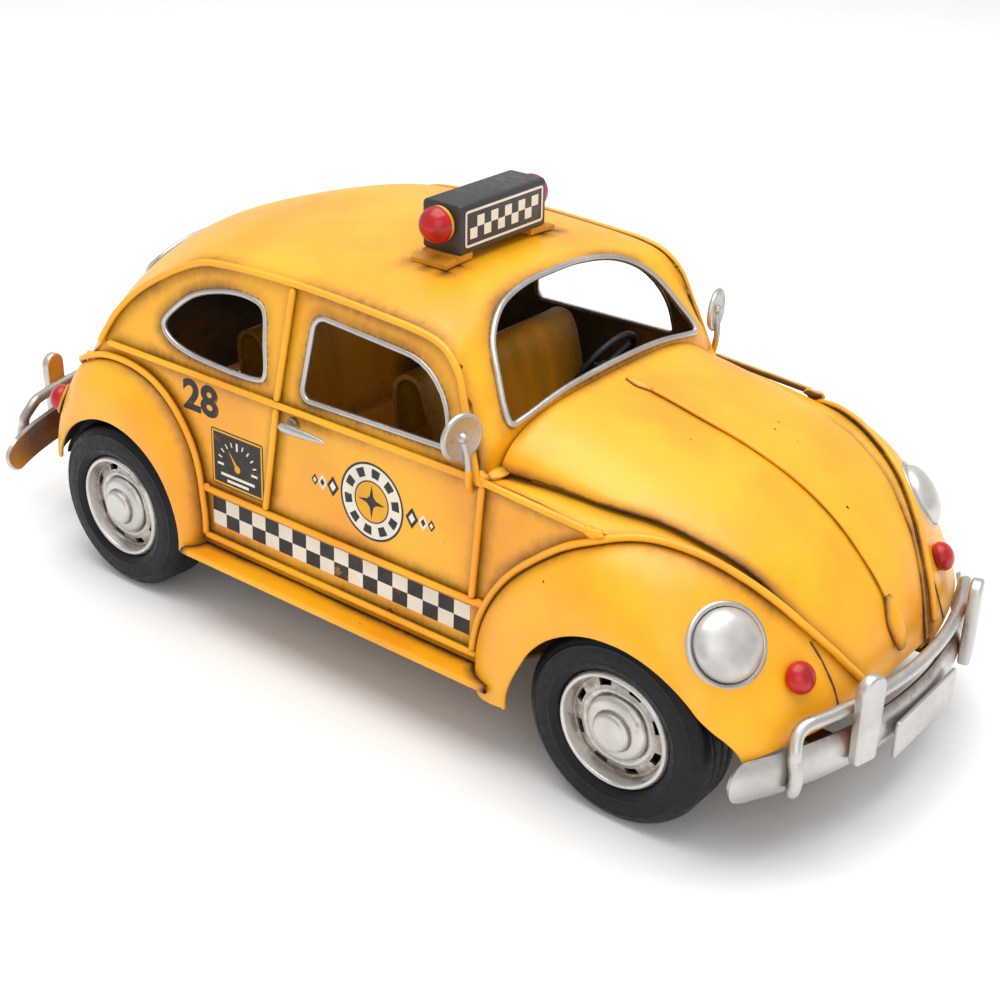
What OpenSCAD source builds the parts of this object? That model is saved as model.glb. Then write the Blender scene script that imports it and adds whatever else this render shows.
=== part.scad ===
// Toy taxi: a hand-made tin saloon car with free-rolling wheels.
// X points forward, Y to the left, Z up. The tyres stand on Z = 0.

/* [Overall] */
// Distance between the axles
wheelbase = 150; // [146:1:160]
// From the front axle to the crown of the front bumper blade
front_overhang = 43.7; // [42.2:0.5:47.2]
// From the rear axle to the crown of the rear bumper blade
rear_overhang = 57.7; // [56.2:0.5:61.2]
// Thickness of the tin sheet
sheet = 0.8; // [0.6:0.1:1]
// Gap left between soldered pieces
seam = 0.2; // [0.1:0.05:0.3]
// Diameter of the soldered bead wire
bead_d = 1.6; // [1.2:0.1:2]
// Diameter of the window frame wire
frame_d = 2; // [1.6:0.1:2.2]

/* [Body] */
// Width of the body at the sill
sill_w = 90; // [88:1:93]
// Width of the body at the belt line
belt_w = 87; // [84:1:88]
// Width of the body at the roof seam
roof_w = 77.5; // [74:0.5:80]
// Height of the lower edge of the sides
sill_z = 20; // [19:0.5:21]
// Height of the belt line
belt_z = 63.3; // [62:0.1:65]
// Height of the roof seam above the doors
gutter_z = 90; // [88:0.5:92]
// Height of the roof's crown
roof_z = 95.2; // [94:0.2:97]
// Height of the bead along the top of the sill stripe
stripe_z = 35.2; // [34:0.2:37]
// Height of the bonnet ridge at the windscreen
cowl_z = 73.4; // [72:0.2:75]

/* [Wheels] */
// Diameter of the tyres
tyre_d = 43.2; // [42:0.2:44]
// Width of the tyres
tyre_w = 14.5; // [13:0.5:15]
// Distance between the outer faces of the tyres
track_w = 99.5; // [98:0.5:101]
// Diameter of the rims
rim_d = 26.4; // [25:0.2:28]
// Diameter of the axles
axle_d = 3; // [2.5:0.1:3.5]
// Radial running clearance of the axles in the ears
run_gap = 0.05; // [0.02:0.01:0.08]
// Thickness of the ears that carry the axles
ear_t = 1.6; // [1.2:0.1:2]
// Distance between the outer faces of the ears
ear_w = 56; // [52:1:58]

/* [Wings] */
// How far the wings reach out on each side of the middle
wing_y = 53; // [52:0.5:55]
// Radius of the wheel openings at the top of the arch
arch_r = 23.2; // [22.8:0.1:24]
// Width of the running boards
board_w = 5.8; // [5:0.2:7]
// Thickness of the running boards
board_t = 1.6; // [1.2:0.1:2]

/* [Fittings] */
// Outer diameter of the headlight rings
headlight_d = 17.2; // [16:0.2:18]
// Diameter of the red lamps
lamp_d = 6.6; // [6:0.2:7]
// Radius of the bumper blades in plan
blade_r = 96; // [90:1:100]
// Height of the bumper blades
blade_h = 9.6; // [8:0.2:11]
// Half the width of the bumper blades
blade_y = 51.5; // [48:0.5:52]
// Diameter of the bumper guard tube
tube_d = 2.8; // [2.4:0.1:3.2]
// Distance between the upright bumper guards
guard_gap = 47; // [42:1:50]
// Length of the roof sign
sign_l = 30; // [26:1:34]
// Depth of the roof sign
sign_d = 11; // [10:0.5:13]
// Height of the roof sign
sign_h = 11; // [9:0.5:12]
// Diameter of the sign's end lamps
sign_lamp_d = 8.2; // [7:0.2:9]
// Diameter of the mirrors
mirror_d = 10.5; // [8:0.5:11]

/* [Inside] */
// Width of the front seat
seat_w = 56; // [50:1:60]
// Height of the top of the front seat
seat_z = 72; // [68:1:74]
// Diameter of the steering wheel
steer_d = 22; // [20:1:24]

/* [Hidden] */

taxi_yellow = [0.96, 0.70, 0.08];
tin_silver = [0.72, 0.71, 0.70];
rubber_black = [0.07, 0.07, 0.08];
lamp_red = [0.75, 0.05, 0.07];
dark_tin = [0.20, 0.16, 0.10];
seat_tan = [0.55, 0.36, 0.10];

// How far the upright guards and the front plate stand out past the blade's crown
guard_t = 2.6;
guard_half = 3.4;
guard_turn = asin(guard_gap / 2 / blade_r);
guard_out = (blade_r + seam + guard_t) * cos(guard_turn) + guard_half * sin(guard_turn) - blade_r;
front_out = max(guard_out, seam + sheet);
// The origin lies under the middle of the overall length.
front_x = (wheelbase + rear_overhang + guard_out - front_overhang - front_out) / 2;
rear_x = front_x - wheelbase;
axle_z = tyre_d / 2;
sill_y = sill_w / 2;
belt_y = belt_w / 2;
roof_y = roof_w / 2;
bead_r = bead_d / 2;
frame_r = frame_d / 2;
frame_lift = 0.3;
lean_low = atan((sill_y - belt_y) / (belt_z - sill_z));
lean_high = atan((belt_y - roof_y) / (gutter_z - belt_z));
floor_top = sill_z - 0.05;
fine = 48;

function lerp(a, b, t) = a + (b - a) * t;
function unit(v) = v / norm(v);
function from_front(dx) = front_x + dx;
function from_rear(dx) = rear_x + dx;
// Height in the window band: 0 at the belt, 1 at the roof seam
function band_z(u) = lerp(belt_z, gutter_z, u);
// Half width of the side sheets' outer face at a height
function side_y(z) = z < belt_z
  ? belt_y + (belt_z - z) * tan(lean_low)
  : belt_y - (z - belt_z) * tan(lean_high);

// Smooth curve through a list of points, at a fractional index
function curve_at(pts, t) =
  let (n = len(pts) - 1, i = min(floor(t), n - 1), f = t - i)
  let (a = pts[max(i - 1, 0)], b = pts[i], c = pts[i + 1], d = pts[min(i + 2, n)])
  0.5 * (2 * b + (c - a) * f + (2 * a - 5 * b + 4 * c - d) * f * f + (3 * b - a - 3 * c + d) * f * f * f);
function curve(pts, steps) = [for (k = [0:(len(pts) - 1) * steps]) curve_at(pts, k / steps)];
function loop_at(pts, t) =
  let (n = len(pts), i = floor(t), f = t - i)
  let (a = pts[(i + n - 1) % n], b = pts[i % n], c = pts[(i + 1) % n], d = pts[(i + 2) % n])
  0.5 * (2 * b + (c - a) * f + (2 * a - 5 * b + 4 * c - d) * f * f + (3 * b - a - 3 * c + d) * f * f * f);
function loop_curve(pts, steps) = [for (k = [0:len(pts) * steps - 1]) loop_at(pts, k / steps)];
// Row of a table at a key value in its first column
function table_at(rows, key, i = 0) =
  i == len(rows) - 2 || key <= rows[i + 1][0]
  ? curve_at(rows, i + (key - rows[i][0]) / (rows[i + 1][0] - rows[i][0]))
  : table_at(rows, key, i + 1);

// Outline with round corners: each corner is [x, y, radius]
function round_outline(corners, steps = 5) = [
  for (i = [0:len(corners) - 1])
    let (n = len(corners), p = corners[i])
    let (c = [p[0], p[1]], a = corners[(i + n - 1) % n], b = corners[(i + 1) % n])
    let (u = unit([a[0], a[1]] - c), v = unit([b[0], b[1]] - c))
    let (half = acos(u * v) / 2, back = p[2] / tan(half))
    let (m = c + unit(u + v) * p[2] / sin(half))
    for (k = [0:steps])
      let (q = lerp(c + u * back, c + v * back, k / steps))
      m + unit(q - m) * p[2]
];
// The same outline drawn in or out by a distance, for one that runs anticlockwise
function grow(pts, d) = [
  for (i = [0:len(pts) - 1])
    let (n = len(pts), t = unit(pts[(i + 1) % n] - pts[(i + n - 1) % n]))
    pts[i] + d * [t[1], -t[0]]
];

// Round wire along a path; side is a direction the path never runs along
module wire(path, r, side, closed = false, around = 6) {
  n = len(path);
  ring = [for (i = [0:n - 1])
    let (ahead = closed ? path[(i + 1) % n] : path[min(i + 1, n - 1)])
    let (behind = closed ? path[(i + n - 1) % n] : path[max(i - 1, 0)])
    let (t = unit(ahead - behind), a = unit(cross(t, side)), b = cross(t, a))
    for (k = [0:around - 1]) path[i] + r * (cos(k * 360 / around) * a + sin(k * 360 / around) * b)];
  last = closed ? n - 1 : n - 2;
  quads = [for (i = [0:last], k = [0:around - 1])
    let (j = (i + 1) % n, m = (k + 1) % around)
    [i * around + k, j * around + k, j * around + m, i * around + m]];
  caps = closed ? [] : [
    [for (k = [0:around - 1]) k],
    [for (k = [around - 1:-1:0]) (n - 1) * around + k]];
  split = [for (q = quads) each [[q[0], q[1], q[2]], [q[0], q[2], q[3]]]];
  polyhedron(ring, concat(split, caps));
}

// Sheet of even thickness under a grid of points; the grid's normals point out
module sheet_from(grid, t) {
  rows = len(grid);
  cols = len(grid[0]);
  inner = [for (i = [0:rows - 1]) [for (j = [0:cols - 1])
    let (du = grid[min(i + 1, rows - 1)][j] - grid[max(i - 1, 0)][j])
    let (dv = grid[i][min(j + 1, cols - 1)] - grid[i][max(j - 1, 0)])
    grid[i][j] - t * unit(cross(du, dv))]];
  points = concat([for (r = grid) each r], [for (r = inner) each r]);
  top = rows * cols;
  at = function (i, j) i * cols + j;
  outside = [for (i = [0:rows - 2], j = [0:cols - 2])
    each [[at(i, j), at(i + 1, j + 1), at(i + 1, j)], [at(i, j), at(i, j + 1), at(i + 1, j + 1)]]];
  inside = [for (f = outside) [top + f[0], top + f[2], top + f[1]]];
  rim = concat(
    [for (j = [0:cols - 1]) at(0, j)],
    [for (i = [1:rows - 1]) at(i, cols - 1)],
    [for (j = [cols - 2:-1:0]) at(rows - 1, j)],
    [for (i = [rows - 2:-1:1]) at(i, 0)]);
  edge = [for (k = [0:len(rim) - 1])
    let (a = rim[k], b = rim[(k + 1) % len(rim)])
    each [[a, top + a, top + b], [a, top + b, b]]];
  polyhedron(points, concat(outside, inside, edge));
}

// Arched sheet: each station is [edge x, edge y, edge z, crown x, crown z, fullness, roundness].
// Across the car the sheet rises from edge to crown by (1 - |v|^fullness)^(1/roundness).
function arch_point(s, v) =
  let (w = pow(max(1 - pow(abs(v), s[5]), 0), 1 / s[6]))
  [lerp(s[0], s[3], w), v * s[1], lerp(s[2], s[4], w)];
function arch_surface(stations, t, v) = arch_point(curve_at(stations, t), v);
function arch_normal(stations, t, v) =
  let (last = len(stations) - 1, a = max(t - 0.05, 0), b = min(t + 0.05, last), e = min(max(v, -0.97), 0.97))
  let (du = arch_surface(stations, b, e) - arch_surface(stations, a, e))
  let (dv = arch_surface(stations, t, e + 0.02) - arch_surface(stations, t, e - 0.02))
  arch_way(stations) * unit(cross(dv, du));
// 1 when the stations run backward, -1 when they run forward
function arch_way(stations) = sign(stations[0][0] - stations[len(stations) - 1][0]);
function arch_grid(stations, steps, half) = [
  for (s = curve(stations, steps))
    [for (j = [half:-1:-half]) arch_point(s, arch_way(stations) * sin(90 * j / half))]
];

// Wings. Each row is [angle round the axle, seam radius, seam half width,
// lip radius, lip half width, fullness].
wing_gap = 2 * seam;
front_wing = [
  [9, 38.4, 13.5, arch_r + 5.4, wing_y - 6.5, 1.3],
  [29, 36.2, 20.3, arch_r + 1.9, wing_y - 2.4, 1.3],
  [43, 35.8, 25.4, arch_r + 1, wing_y - 1.2, 1.35],
  [61, 36.9, 31, arch_r + 0.3, wing_y - 0.6, 1.45],
  [77, 38.1, 35.4, arch_r, wing_y - 0.2, 1.6],
  [92, 38.8, 39.6, arch_r - 0.2, wing_y, 1.7],
  [106, 37.9, side_y(58), arch_r - 0.4, wing_y - 0.2, 1.8],
  [127, 36.4, side_y(51) + wing_gap, arch_r - 0.4, wing_y - 0.5, 1.9],
  [147, 36.8, side_y(42) + wing_gap, arch_r, wing_y - 1, 1.9],
  [165, 37.4, side_y(31) + wing_gap, arch_r + 0.8, wing_y - 1.4, 1.9],
  [191, 37.6, side_y(15) + wing_gap, arch_r + 4, wing_y - 2.4, 1.8]
];
rear_wing = [
  [-8, 27.4, side_y(18) + wing_gap, arch_r + 0.4, wing_y - 2.6, 1.8],
  [20, 29, side_y(31) + wing_gap, arch_r + 0.8, wing_y - 2.2, 1.9],
  [45, 33.6, side_y(45) + wing_gap, arch_r + 1.4, wing_y - 2, 1.9],
  [70, 37.2, side_y(57) + wing_gap, arch_r + 1.4, wing_y - 2, 1.9],
  [95, 37.6, side_y(60) + wing_gap, arch_r + 1, wing_y - 2.2, 1.9],
  [115, 36.6, side_y(56) - 0.8, arch_r + 0.6, wing_y - 2.6, 1.8],
  [133, 36.2, 35.6, arch_r + 0.8, wing_y - 3.4, 1.7],
  [150, 35.6, 31.4, arch_r + 1.6, wing_y - 4.6, 1.6],
  [170, 35, 28.4, arch_r + 4, wing_y - 7, 1.5]
];
function wing_point(rows, x, angle, u) =
  let (w = table_at(rows, angle), phi = 90 * u, e = 2 / w[5])
  let (r = w[3] + (w[1] - w[3]) * pow(cos(phi), e))
  let (y = w[2] + (w[4] - w[2]) * pow(sin(phi), e))
  [x + r * cos(angle), y, axle_z + r * sin(angle)];
function wing_grid(rows, x, steps, across) =
  let (a = rows[0][0], b = rows[len(rows) - 1][0])
  [for (i = [0:steps]) [for (j = [across:-1:0]) wing_point(rows, x, lerp(a, b, i / steps), j / across)]];
function wing_normal(rows, x, angle, u) =
  let (du = wing_point(rows, x, angle + 0.5, u) - wing_point(rows, x, angle - 0.5, u))
  let (dv = wing_point(rows, x, angle, u + 0.01) - wing_point(rows, x, angle, u - 0.01))
  unit(cross(dv, du));
function front_seam(angle) = wing_point(front_wing, front_x, angle, 0);
function rear_seam(angle) = wing_point(rear_wing, rear_x, angle, 0);

// Line where the cowl strip meets the side and then the wing
inset = [0, -0.7, 0];
cowl_edge = [
  [from_front(-38.2), side_y(belt_z) - sheet, belt_z - 0.4],
  [from_front(-25), side_y(62) - sheet, belt_z - 1],
  front_seam(103) + inset + [-1, 0, 1.6],
  front_seam(90) + inset + [0, 0, 0.2], front_seam(77) + inset, front_seam(62) + inset,
  front_seam(48) + inset, front_seam(39) + inset, front_seam(26) + inset, front_seam(11) + inset
];
// How far the bonnet's edge lies in from that line: [forward, inward, up]
bonnet_in = [
  [0.4, -4.6, 0.2], [-1, -5.6, 1], [-4, -6.4, 2.2], [-3, -4.8, 1.2], [-2.2, -3.2, 0.8], [-1.6, -2.2, 0.8],
  [-0.6, -1.6, -0.6], [-0.4, -1.4, -0.6], [-0.4, -1.3, -0.6], [-0.3, -1.2, -0.4]
];
bonnet_crown = [
  [from_front(-37.2), cowl_z], [from_front(-25), cowl_z - 2], [from_front(-14), cowl_z - 4.4],
  [from_front(-2), cowl_z - 7.2], [from_front(10), cowl_z - 11.6], [from_front(19.4), cowl_z - 17.2],
  [from_front(27), cowl_z - 24.2], [from_front(31.8), cowl_z - 30], [from_front(35.4), cowl_z - 36.6],
  [from_front(37.4), cowl_z - 44.6]
];
bonnet_full = [4, 3.4, 3, 2.7, 2.5, 2.4, 2.3, 2.2, 2.2, 2.2];
bonnet_edge = [for (i = [0:9]) cowl_edge[i] + bonnet_in[i]];
bonnet_arch = [for (i = [0:9])
  [each bonnet_edge[i], each bonnet_crown[i], bonnet_full[i], 1.9]];

// Roof seam, from the foot of the screen pillar over the door to the tail: [x, height in the window band]
roof_seam = [
  [from_front(-38.6), -0.06], [from_front(-39.2), 0.03], [from_front(-41.5), 0.26],
  [from_front(-44.2), 0.52], [from_front(-47.4), 0.78], [from_front(-54), 0.945],
  [lerp(from_front(-54), from_rear(57), 16 / 39), 1],
  [from_rear(57), 1.03], [from_rear(36), 1.01], [from_rear(24), 0.93], [from_rear(8.5), 0.62],
  [from_rear(-1), 0.31], [from_rear(-6.6), 0]
];
tail_angles = [118, 133, 150, 168];
roof_edge = concat(
  [for (p = roof_seam) let (z = band_z(p[1])) [p[0], side_y(z) - (z < belt_z - seam ? sheet + seam : 0), z]],
  [for (a = tail_angles) rear_seam(a) + inset]);
// Heights up the screen and down the tail, shared out between their ends
tail_z = 26.2;
function screen_rise(dz) = lerp(cowl_z, roof_z, dz / 21.8);
function tail_fall(dz) = lerp(roof_z, tail_z, dz / 69);
roof_crown = [
  [from_front(-38.4), cowl_z - 4], [from_front(-37.6), cowl_z + 0.8], [from_front(-42.4), screen_rise(7)],
  [from_front(-47.8), screen_rise(13.2)], [from_front(-54), roof_z - 3.2], [from_front(-62), roof_z - 1.1],
  [lerp(from_front(-62), from_rear(57), 11 / 31), roof_z - 0.4],
  [from_rear(57), roof_z + 0.1], [from_rear(35), roof_z - 0.6],
  [from_rear(19.4), roof_z - 2], [from_rear(1), tail_fall(7.8)], [from_rear(-14.6), tail_fall(16.8)],
  [from_rear(-27.4), tail_fall(27.8)], [from_rear(-34), tail_fall(39)], [from_rear(-37.6), tail_fall(48.6)],
  [from_rear(-39.4), tail_fall(58)], [from_rear(-39.6), tail_fall(69)]
];
roof_full = [2.4, 4, 4, 3.8, 3, 2.5, 2.5, 2.5, 2.5, 2.3, 2, 1.9, 1.9, 1.9, 1.9, 2, 2];
roof_round = [0.8, 2, 2, 1.9, 1.6, 1.4, 1.5, 1.5, 1.5, 1.3, 0.95, 0.95, 1, 1, 1, 1, 1];
roof_arch = [for (i = [0:16])
  [each roof_edge[i], each roof_crown[i], roof_full[i], roof_round[i]]];

// Screen outlines on the roof sheet: half of each loop as [station, place across], from front to back
screen_half = [
  [1.42, 0], [1.38, 0.35], [1.28, 0.68], [1.5, 0.8], [2.4, 0.765],
  [3.2, 0.70], [3.8, 0.53], [4.06, 0.26], [4.1, 0]
];
back_half = [[11, 0], [11.04, 0.24], [11.16, 0.38], [11.42, 0.43], [11.7, 0.38], [11.86, 0.24], [11.9, 0]];
function whole_loop(half) =
  let (n = len(half) - 1)
  concat(half, [for (i = [n - 1:-1:1]) [half[i][0], -half[i][1]]]);
// That loop in space, lifted off the sheet and spread outward along it
function loop_path(half, lift, spread, steps) =
  let (loop = loop_curve(whole_loop(half), steps), n = len(loop))
  let (line = [for (p = loop) arch_surface(roof_arch, p[0], p[1])])
  [for (i = [0:n - 1])
    let (out = arch_normal(roof_arch, loop[i][0], loop[i][1]))
    let (along = unit(line[(i + 1) % n] - line[(i + n - 1) % n]))
    line[i] + lift * out + spread * unit(cross(along, out))];

// Window outlines in the side sheets: [x, z, corner radius], anticlockwise seen from the left
door_back = from_rear(59.6);
door_round = min(14, (from_front(-50.6) - door_back - 2) / 2);
door_window = [
  [door_back, belt_z + 2.6, 2.5], [from_front(-48), belt_z + 3.4, 1.6],
  [from_front(-50.6), belt_z + 19.4, door_round], [door_back + 2, belt_z + 21.8, 3.5]
];
door_outline = round_outline(door_window);
// The quarter window is a smooth loop: [along from the rear axle, above the belt]
quarter_window = [
  [17, 5.4], [24, 3.6], [36, 2.9], [45.8, 3.2], [48.2, 5.2], [47.4, 12],
  [46.2, 19.2], [41, 21], [33, 20.4], [24, 17.6], [17.5, 13], [14, 8.6]
];
quarter_outline = loop_curve([for (p = quarter_window) [from_rear(p[0]), belt_z + p[1]]], 3);

// Places a flat outline drawn in [x, height above the belt] on a side sheet's outer face, left side
module on_side(lean) {
  translate([0, belt_y, belt_z]) rotate([90 + lean, 0, 0]) children();
}
function up_sheet(pts, lean) = [for (p = pts) [p[0], (p[1] - belt_z) / cos(lean)]];

module window_frame(outline) {
  line = up_sheet(outline, lean_high);
  on_side(lean_high) translate([0, 0, -bead_d - seam / 2]) linear_extrude(bead_d) difference() {
    polygon(grow(line, frame_r));
    polygon(grow(line, -frame_r));
  }
}

module side_panel() {
  hem = 1;
  lap = 2;
  seam_line = curve([for (p = roof_seam) [p[0], band_z(p[1])]], 3);
  top = [for (p = grow(seam_line, -hem)) if (p[1] > belt_z) p];
  front_arch = [for (a = [183:-6:103]) let (p = front_seam(a), d = [cos(a), sin(a)]) [p[0], p[2]] - lap * d];
  back_arch = [for (a = [113:-7:1]) let (p = rear_seam(a), d = [cos(a), sin(a)]) [p[0], p[2]] - lap * d];
  upper = concat([[from_rear(-5.4), belt_z - 0.01], [from_front(-40), belt_z - 0.01]], top);
  lower = concat(
    [[from_rear(25.3), sill_z], [from_front(-35.4), sill_z]], [for (p = front_arch) if (p[1] > sill_z) p],
    [[from_front(-9), belt_z - 4.6], [from_front(-25), belt_z - 2], [from_front(-38.6), belt_z - 0.8]],
    [[from_rear(-5.4), belt_z], [from_rear(-9.6), belt_z - 4.6]], [for (p = back_arch) if (p[1] > sill_z) p]);
  union() {
    on_side(lean_high) linear_extrude(sheet) difference() {
      polygon(up_sheet(upper, lean_high));
      polygon(up_sheet(door_outline, lean_high));
      polygon(up_sheet(quarter_outline, lean_high));
    }
    on_side(lean_low) linear_extrude(sheet) polygon(up_sheet(lower, lean_low));
  }
}
module side_panel_left() { color(taxi_yellow) side_panel(); }
module side_panel_right() { color(taxi_yellow) mirror([0, 1, 0]) side_panel(); }

module floor_pan() {
  tail = from_rear(-33);
  nose = from_front(27);
  bay = 27;
  half = ear_w / 2;
  side = sill_y - 0.1;
  outline = [
    [tail, -half], [from_rear(bay), -half], [from_rear(bay), -side], [from_front(-bay - 10), -side],
    [from_front(-bay), -half], [nose, -half], [nose, half], [from_front(-bay), half],
    [from_front(-bay - 10), side], [from_rear(bay), side], [from_rear(bay), half], [tail, half]];
  color(dark_tin) difference() {
    union() {
      translate([0, 0, floor_top - sheet]) linear_extrude(sheet) polygon(outline);
      for (x = [front_x, rear_x], s = [-1, 1])
        translate([x - 5, s > 0 ? half - ear_t : -half, floor_top - sheet])
          cube([10, ear_t, axle_z + 4 - floor_top + sheet]);
    }
    for (x = [front_x, rear_x])
      translate([x, 0, axle_z]) rotate([90, 0, 0])
        cylinder(h = ear_w + 2, r = axle_d / 2 + run_gap, center = true, $fn = fine);
  }
}

module roof_panel() {
  color(taxi_yellow) difference() {
    sheet_from(arch_grid(roof_arch, 3, 8), sheet);
    for (half = [screen_half, back_half]) opening_plug(half);
  }
}
// Plug that cuts a screen opening through the roof sheet
module opening_plug(half) {
  over = loop_path(half, 4, frame_r + seam, 4);
  under = loop_path(half, -4, frame_r + seam, 4);
  n = len(over);
  mid = function (ring) [for (k = [0:2]) [for (p = ring) p[k]] * [for (p = ring) 1] / n];
  points = concat(over, under, [mid(over), mid(under)]);
  faces = [for (i = [0:n - 1]) let (j = (i + 1) % n)
    each [[j, i, 2 * n], [n + i, n + j, 2 * n + 1], [i, j, n + i], [n + i, j, n + j]]];
  polyhedron(points, faces);
}

module bonnet() { color(taxi_yellow) sheet_from(arch_grid(bonnet_arch, 2, 7), sheet); }

// Raised wire along the bonnet's middle
module bonnet_ridge() {
  path = [for (k = [0:14])
    let (t = lerp(0.9, 7.2, k / 14))
    arch_surface(bonnet_arch, t, 0) + (0.45 + seam / 2) * arch_normal(bonnet_arch, t, 0)];
  color(taxi_yellow) wire(path, 0.45, [0, 1, 0]);
}
// Pressed lens-shaped handle on the bonnet's nose
module bonnet_handle() {
  place = 7.95;
  lift = 0.35;
  thick = 1.2;
  at = arch_surface(bonnet_arch, place, 0);
  out = arch_normal(bonnet_arch, place, 0);
  color(taxi_yellow) translate(at + lift * out) rotate([0, acos(out[2]), 0]) linear_extrude(thick)
    polygon(round_outline([
      [-4.6, -1.6, 1.4], [0, -2.6, 6], [4.6, -1.2, 1.1], [4.6, 1.2, 1.1], [0, 2.6, 6], [-4.6, 1.6, 1.4]]));
}

module cowl_strip() {
  under = sheet + seam;
  lap = 1.4;
  crown = 0.4;
  rows = [for (k = [0:18])
    let (t = k / 2, outer = curve_at(cowl_edge, t), inner = curve_at(bonnet_edge, t) - [0, 0, under])
    [inner - [0, lap, 0], inner, lerp(outer, inner, 0.5) + [0, 0, crown], outer + [0, 0, seam]]];
  sheet_from(rows, sheet);
}
module cowl_strip_left() { color(taxi_yellow) cowl_strip(); }
module cowl_strip_right() { color(taxi_yellow) mirror([0, 1, 0]) cowl_strip(); }

// Lamp places on the wings: [angle round the axle, place across]
headlight_at = [51, 0.462];
front_lamp_at = [28.8, 0.34];
tail_lamp_at = [140.6, 0.484];
ring_r = 0.65;
// Stands the children on a wing's outer face, pointing straight out of it
module on_wing(rows, x, at) {
  d = wing_normal(rows, x, at[0], at[1]);
  translate(wing_point(rows, x, at[0], at[1])) rotate([0, acos(d[2]), atan2(d[1], d[0])]) children();
}
module front_wing() {
  difference() {
    sheet_from(wing_grid(front_wing, front_x, 26, 7), sheet);
    on_wing(front_wing, front_x, headlight_at)
      translate([0, 0, -8]) cylinder(h = 16, r = headlight_d / 2 + seam, $fn = fine);
  }
}
module front_wing_left() { color(taxi_yellow) front_wing(); }
module front_wing_right() { color(taxi_yellow) mirror([0, 1, 0]) front_wing(); }
module rear_wing() { sheet_from(wing_grid(rear_wing, rear_x, 24, 7), sheet); }
module rear_wing_left() { color(taxi_yellow) rear_wing(); }
module rear_wing_right() { color(taxi_yellow) mirror([0, 1, 0]) rear_wing(); }

module running_board() {
  inner = sill_y + seam;
  outer = inner + board_w;
  gap = 2 * seam;
  reach = [0:0.14:0.7];
  front = [for (u = reach) let (p = wing_point(front_wing, front_x, 184, u)) [p[0] - gap, max(p[1], inner)]];
  back = [for (u = reach) let (p = wing_point(rear_wing, rear_x, -5, u)) [p[0] + gap, max(p[1], inner)]];
  head = front[len(front) - 1][0];
  foot = back[len(back) - 1][0];
  translate([0, 0, sill_z - board_t]) linear_extrude(board_t) polygon(concat(
    front, [[head, outer], [foot, outer]], [for (i = [len(back) - 1:-1:0]) back[i]]));
  translate([foot, outer, sill_z - board_t / 2]) rotate([0, 90, 0])
    cylinder(h = head - foot, d = board_t, $fn = fine);
}
module running_board_left() { color(taxi_yellow) running_board(); }
module running_board_right() { color(taxi_yellow) mirror([0, 1, 0]) running_board(); }

module windscreen_frame() {
  color(tin_silver) wire(loop_path(screen_half, frame_lift, 0, 4), frame_r, [0.6, 0, 0.8], true);
}
module rear_window_frame() {
  color(tin_silver) wire(loop_path(back_half, frame_lift, 0, 4), frame_r, [-0.6, 0, 0.8], true);
}
module door_window_frame_left() { color(tin_silver) window_frame(door_outline); }
module door_window_frame_right() { color(tin_silver) mirror([0, 1, 0]) window_frame(door_outline); }
module quarter_window_frame_left() { color(tin_silver) window_frame(quarter_outline); }
module quarter_window_frame_right() { color(tin_silver) mirror([0, 1, 0]) window_frame(quarter_outline); }

// Straight bead between two points
module bar(a, b, r) {
  d = b - a;
  translate(a) rotate([0, acos(d[2] / norm(d)), atan2(d[1], d[0])]) cylinder(h = norm(d), r = r, $fn = fine);
}
// Point just outside a side sheet
function beside(x, z) = [x, side_y(z) + bead_r + seam, z];
module side_beads() {
  post = from_front(-37.6);
  latch = from_rear(53);
  bar(beside(from_rear(-3), belt_z), beside(from_front(-38.6), belt_z), bead_r);
  bar(beside(post + 0.6, belt_z), beside(from_front(-12), belt_z - 1.8), bead_r);
  bar(beside(post, belt_z - bead_d), beside(post - 1.6, stripe_z + bead_d), bead_r);
  bar(beside(latch + 0.4, belt_z - bead_d), beside(latch - 3.6, stripe_z + bead_d), bead_r);
  bar(beside(latch + 0.6, belt_z + bead_d), beside(latch + 2.6, gutter_z - 0.8), bead_r);
  bar(beside(from_rear(29.6), stripe_z), beside(post - 0.6, stripe_z), bead_r);
  bar(beside(from_rear(29.4), sill_z + 2.8), beside(post - 0.4, sill_z + 2.8), bead_r);
}
module side_beads_left() { color(taxi_yellow) side_beads(); }
module side_beads_right() { color(taxi_yellow) mirror([0, 1, 0]) side_beads(); }

module roof_bead() {
  line = [for (p = roof_seam) let (z = band_z(p[1])) [p[0], side_y(z) + bead_r + seam, z]];
  first = 1.5;
  last = len(line) - 1;
  steps = 34;
  wire([for (k = [0:steps]) curve_at(line, lerp(first, last, k / steps))], bead_r, [0, 1, 0]);
}
module roof_bead_left() { color(taxi_yellow) roof_bead(); }
module roof_bead_right() { color(taxi_yellow) mirror([0, 1, 0]) roof_bead(); }

module wing_beads() {
  r = bead_r + seam;
  // 1 where the wing meets the side sheet, less where it meets the cowl strip or the tail
  out = function (a, from, to) lerp(0.35, 1, min(max((a - from) / (to - from), 0), 1));
  front = [for (k = [0:26])
    let (a = lerp(16, 176, k / 26))
    front_seam(a) + [r * cos(a), bead_r * out(a, 88, 110), r * sin(a)]];
  back = [for (k = [0:24])
    let (a = lerp(4, 166, k / 24))
    rear_seam(a) + [r * cos(a), bead_r * out(a, 124, 106), r * sin(a)]];
  wire(front, bead_r, [0, 1, 0]);
  wire(back, bead_r, [0, 1, 0]);
}
module wing_beads_left() { color(taxi_yellow) wing_beads(); }
module wing_beads_right() { color(taxi_yellow) mirror([0, 1, 0]) wing_beads(); }

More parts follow.
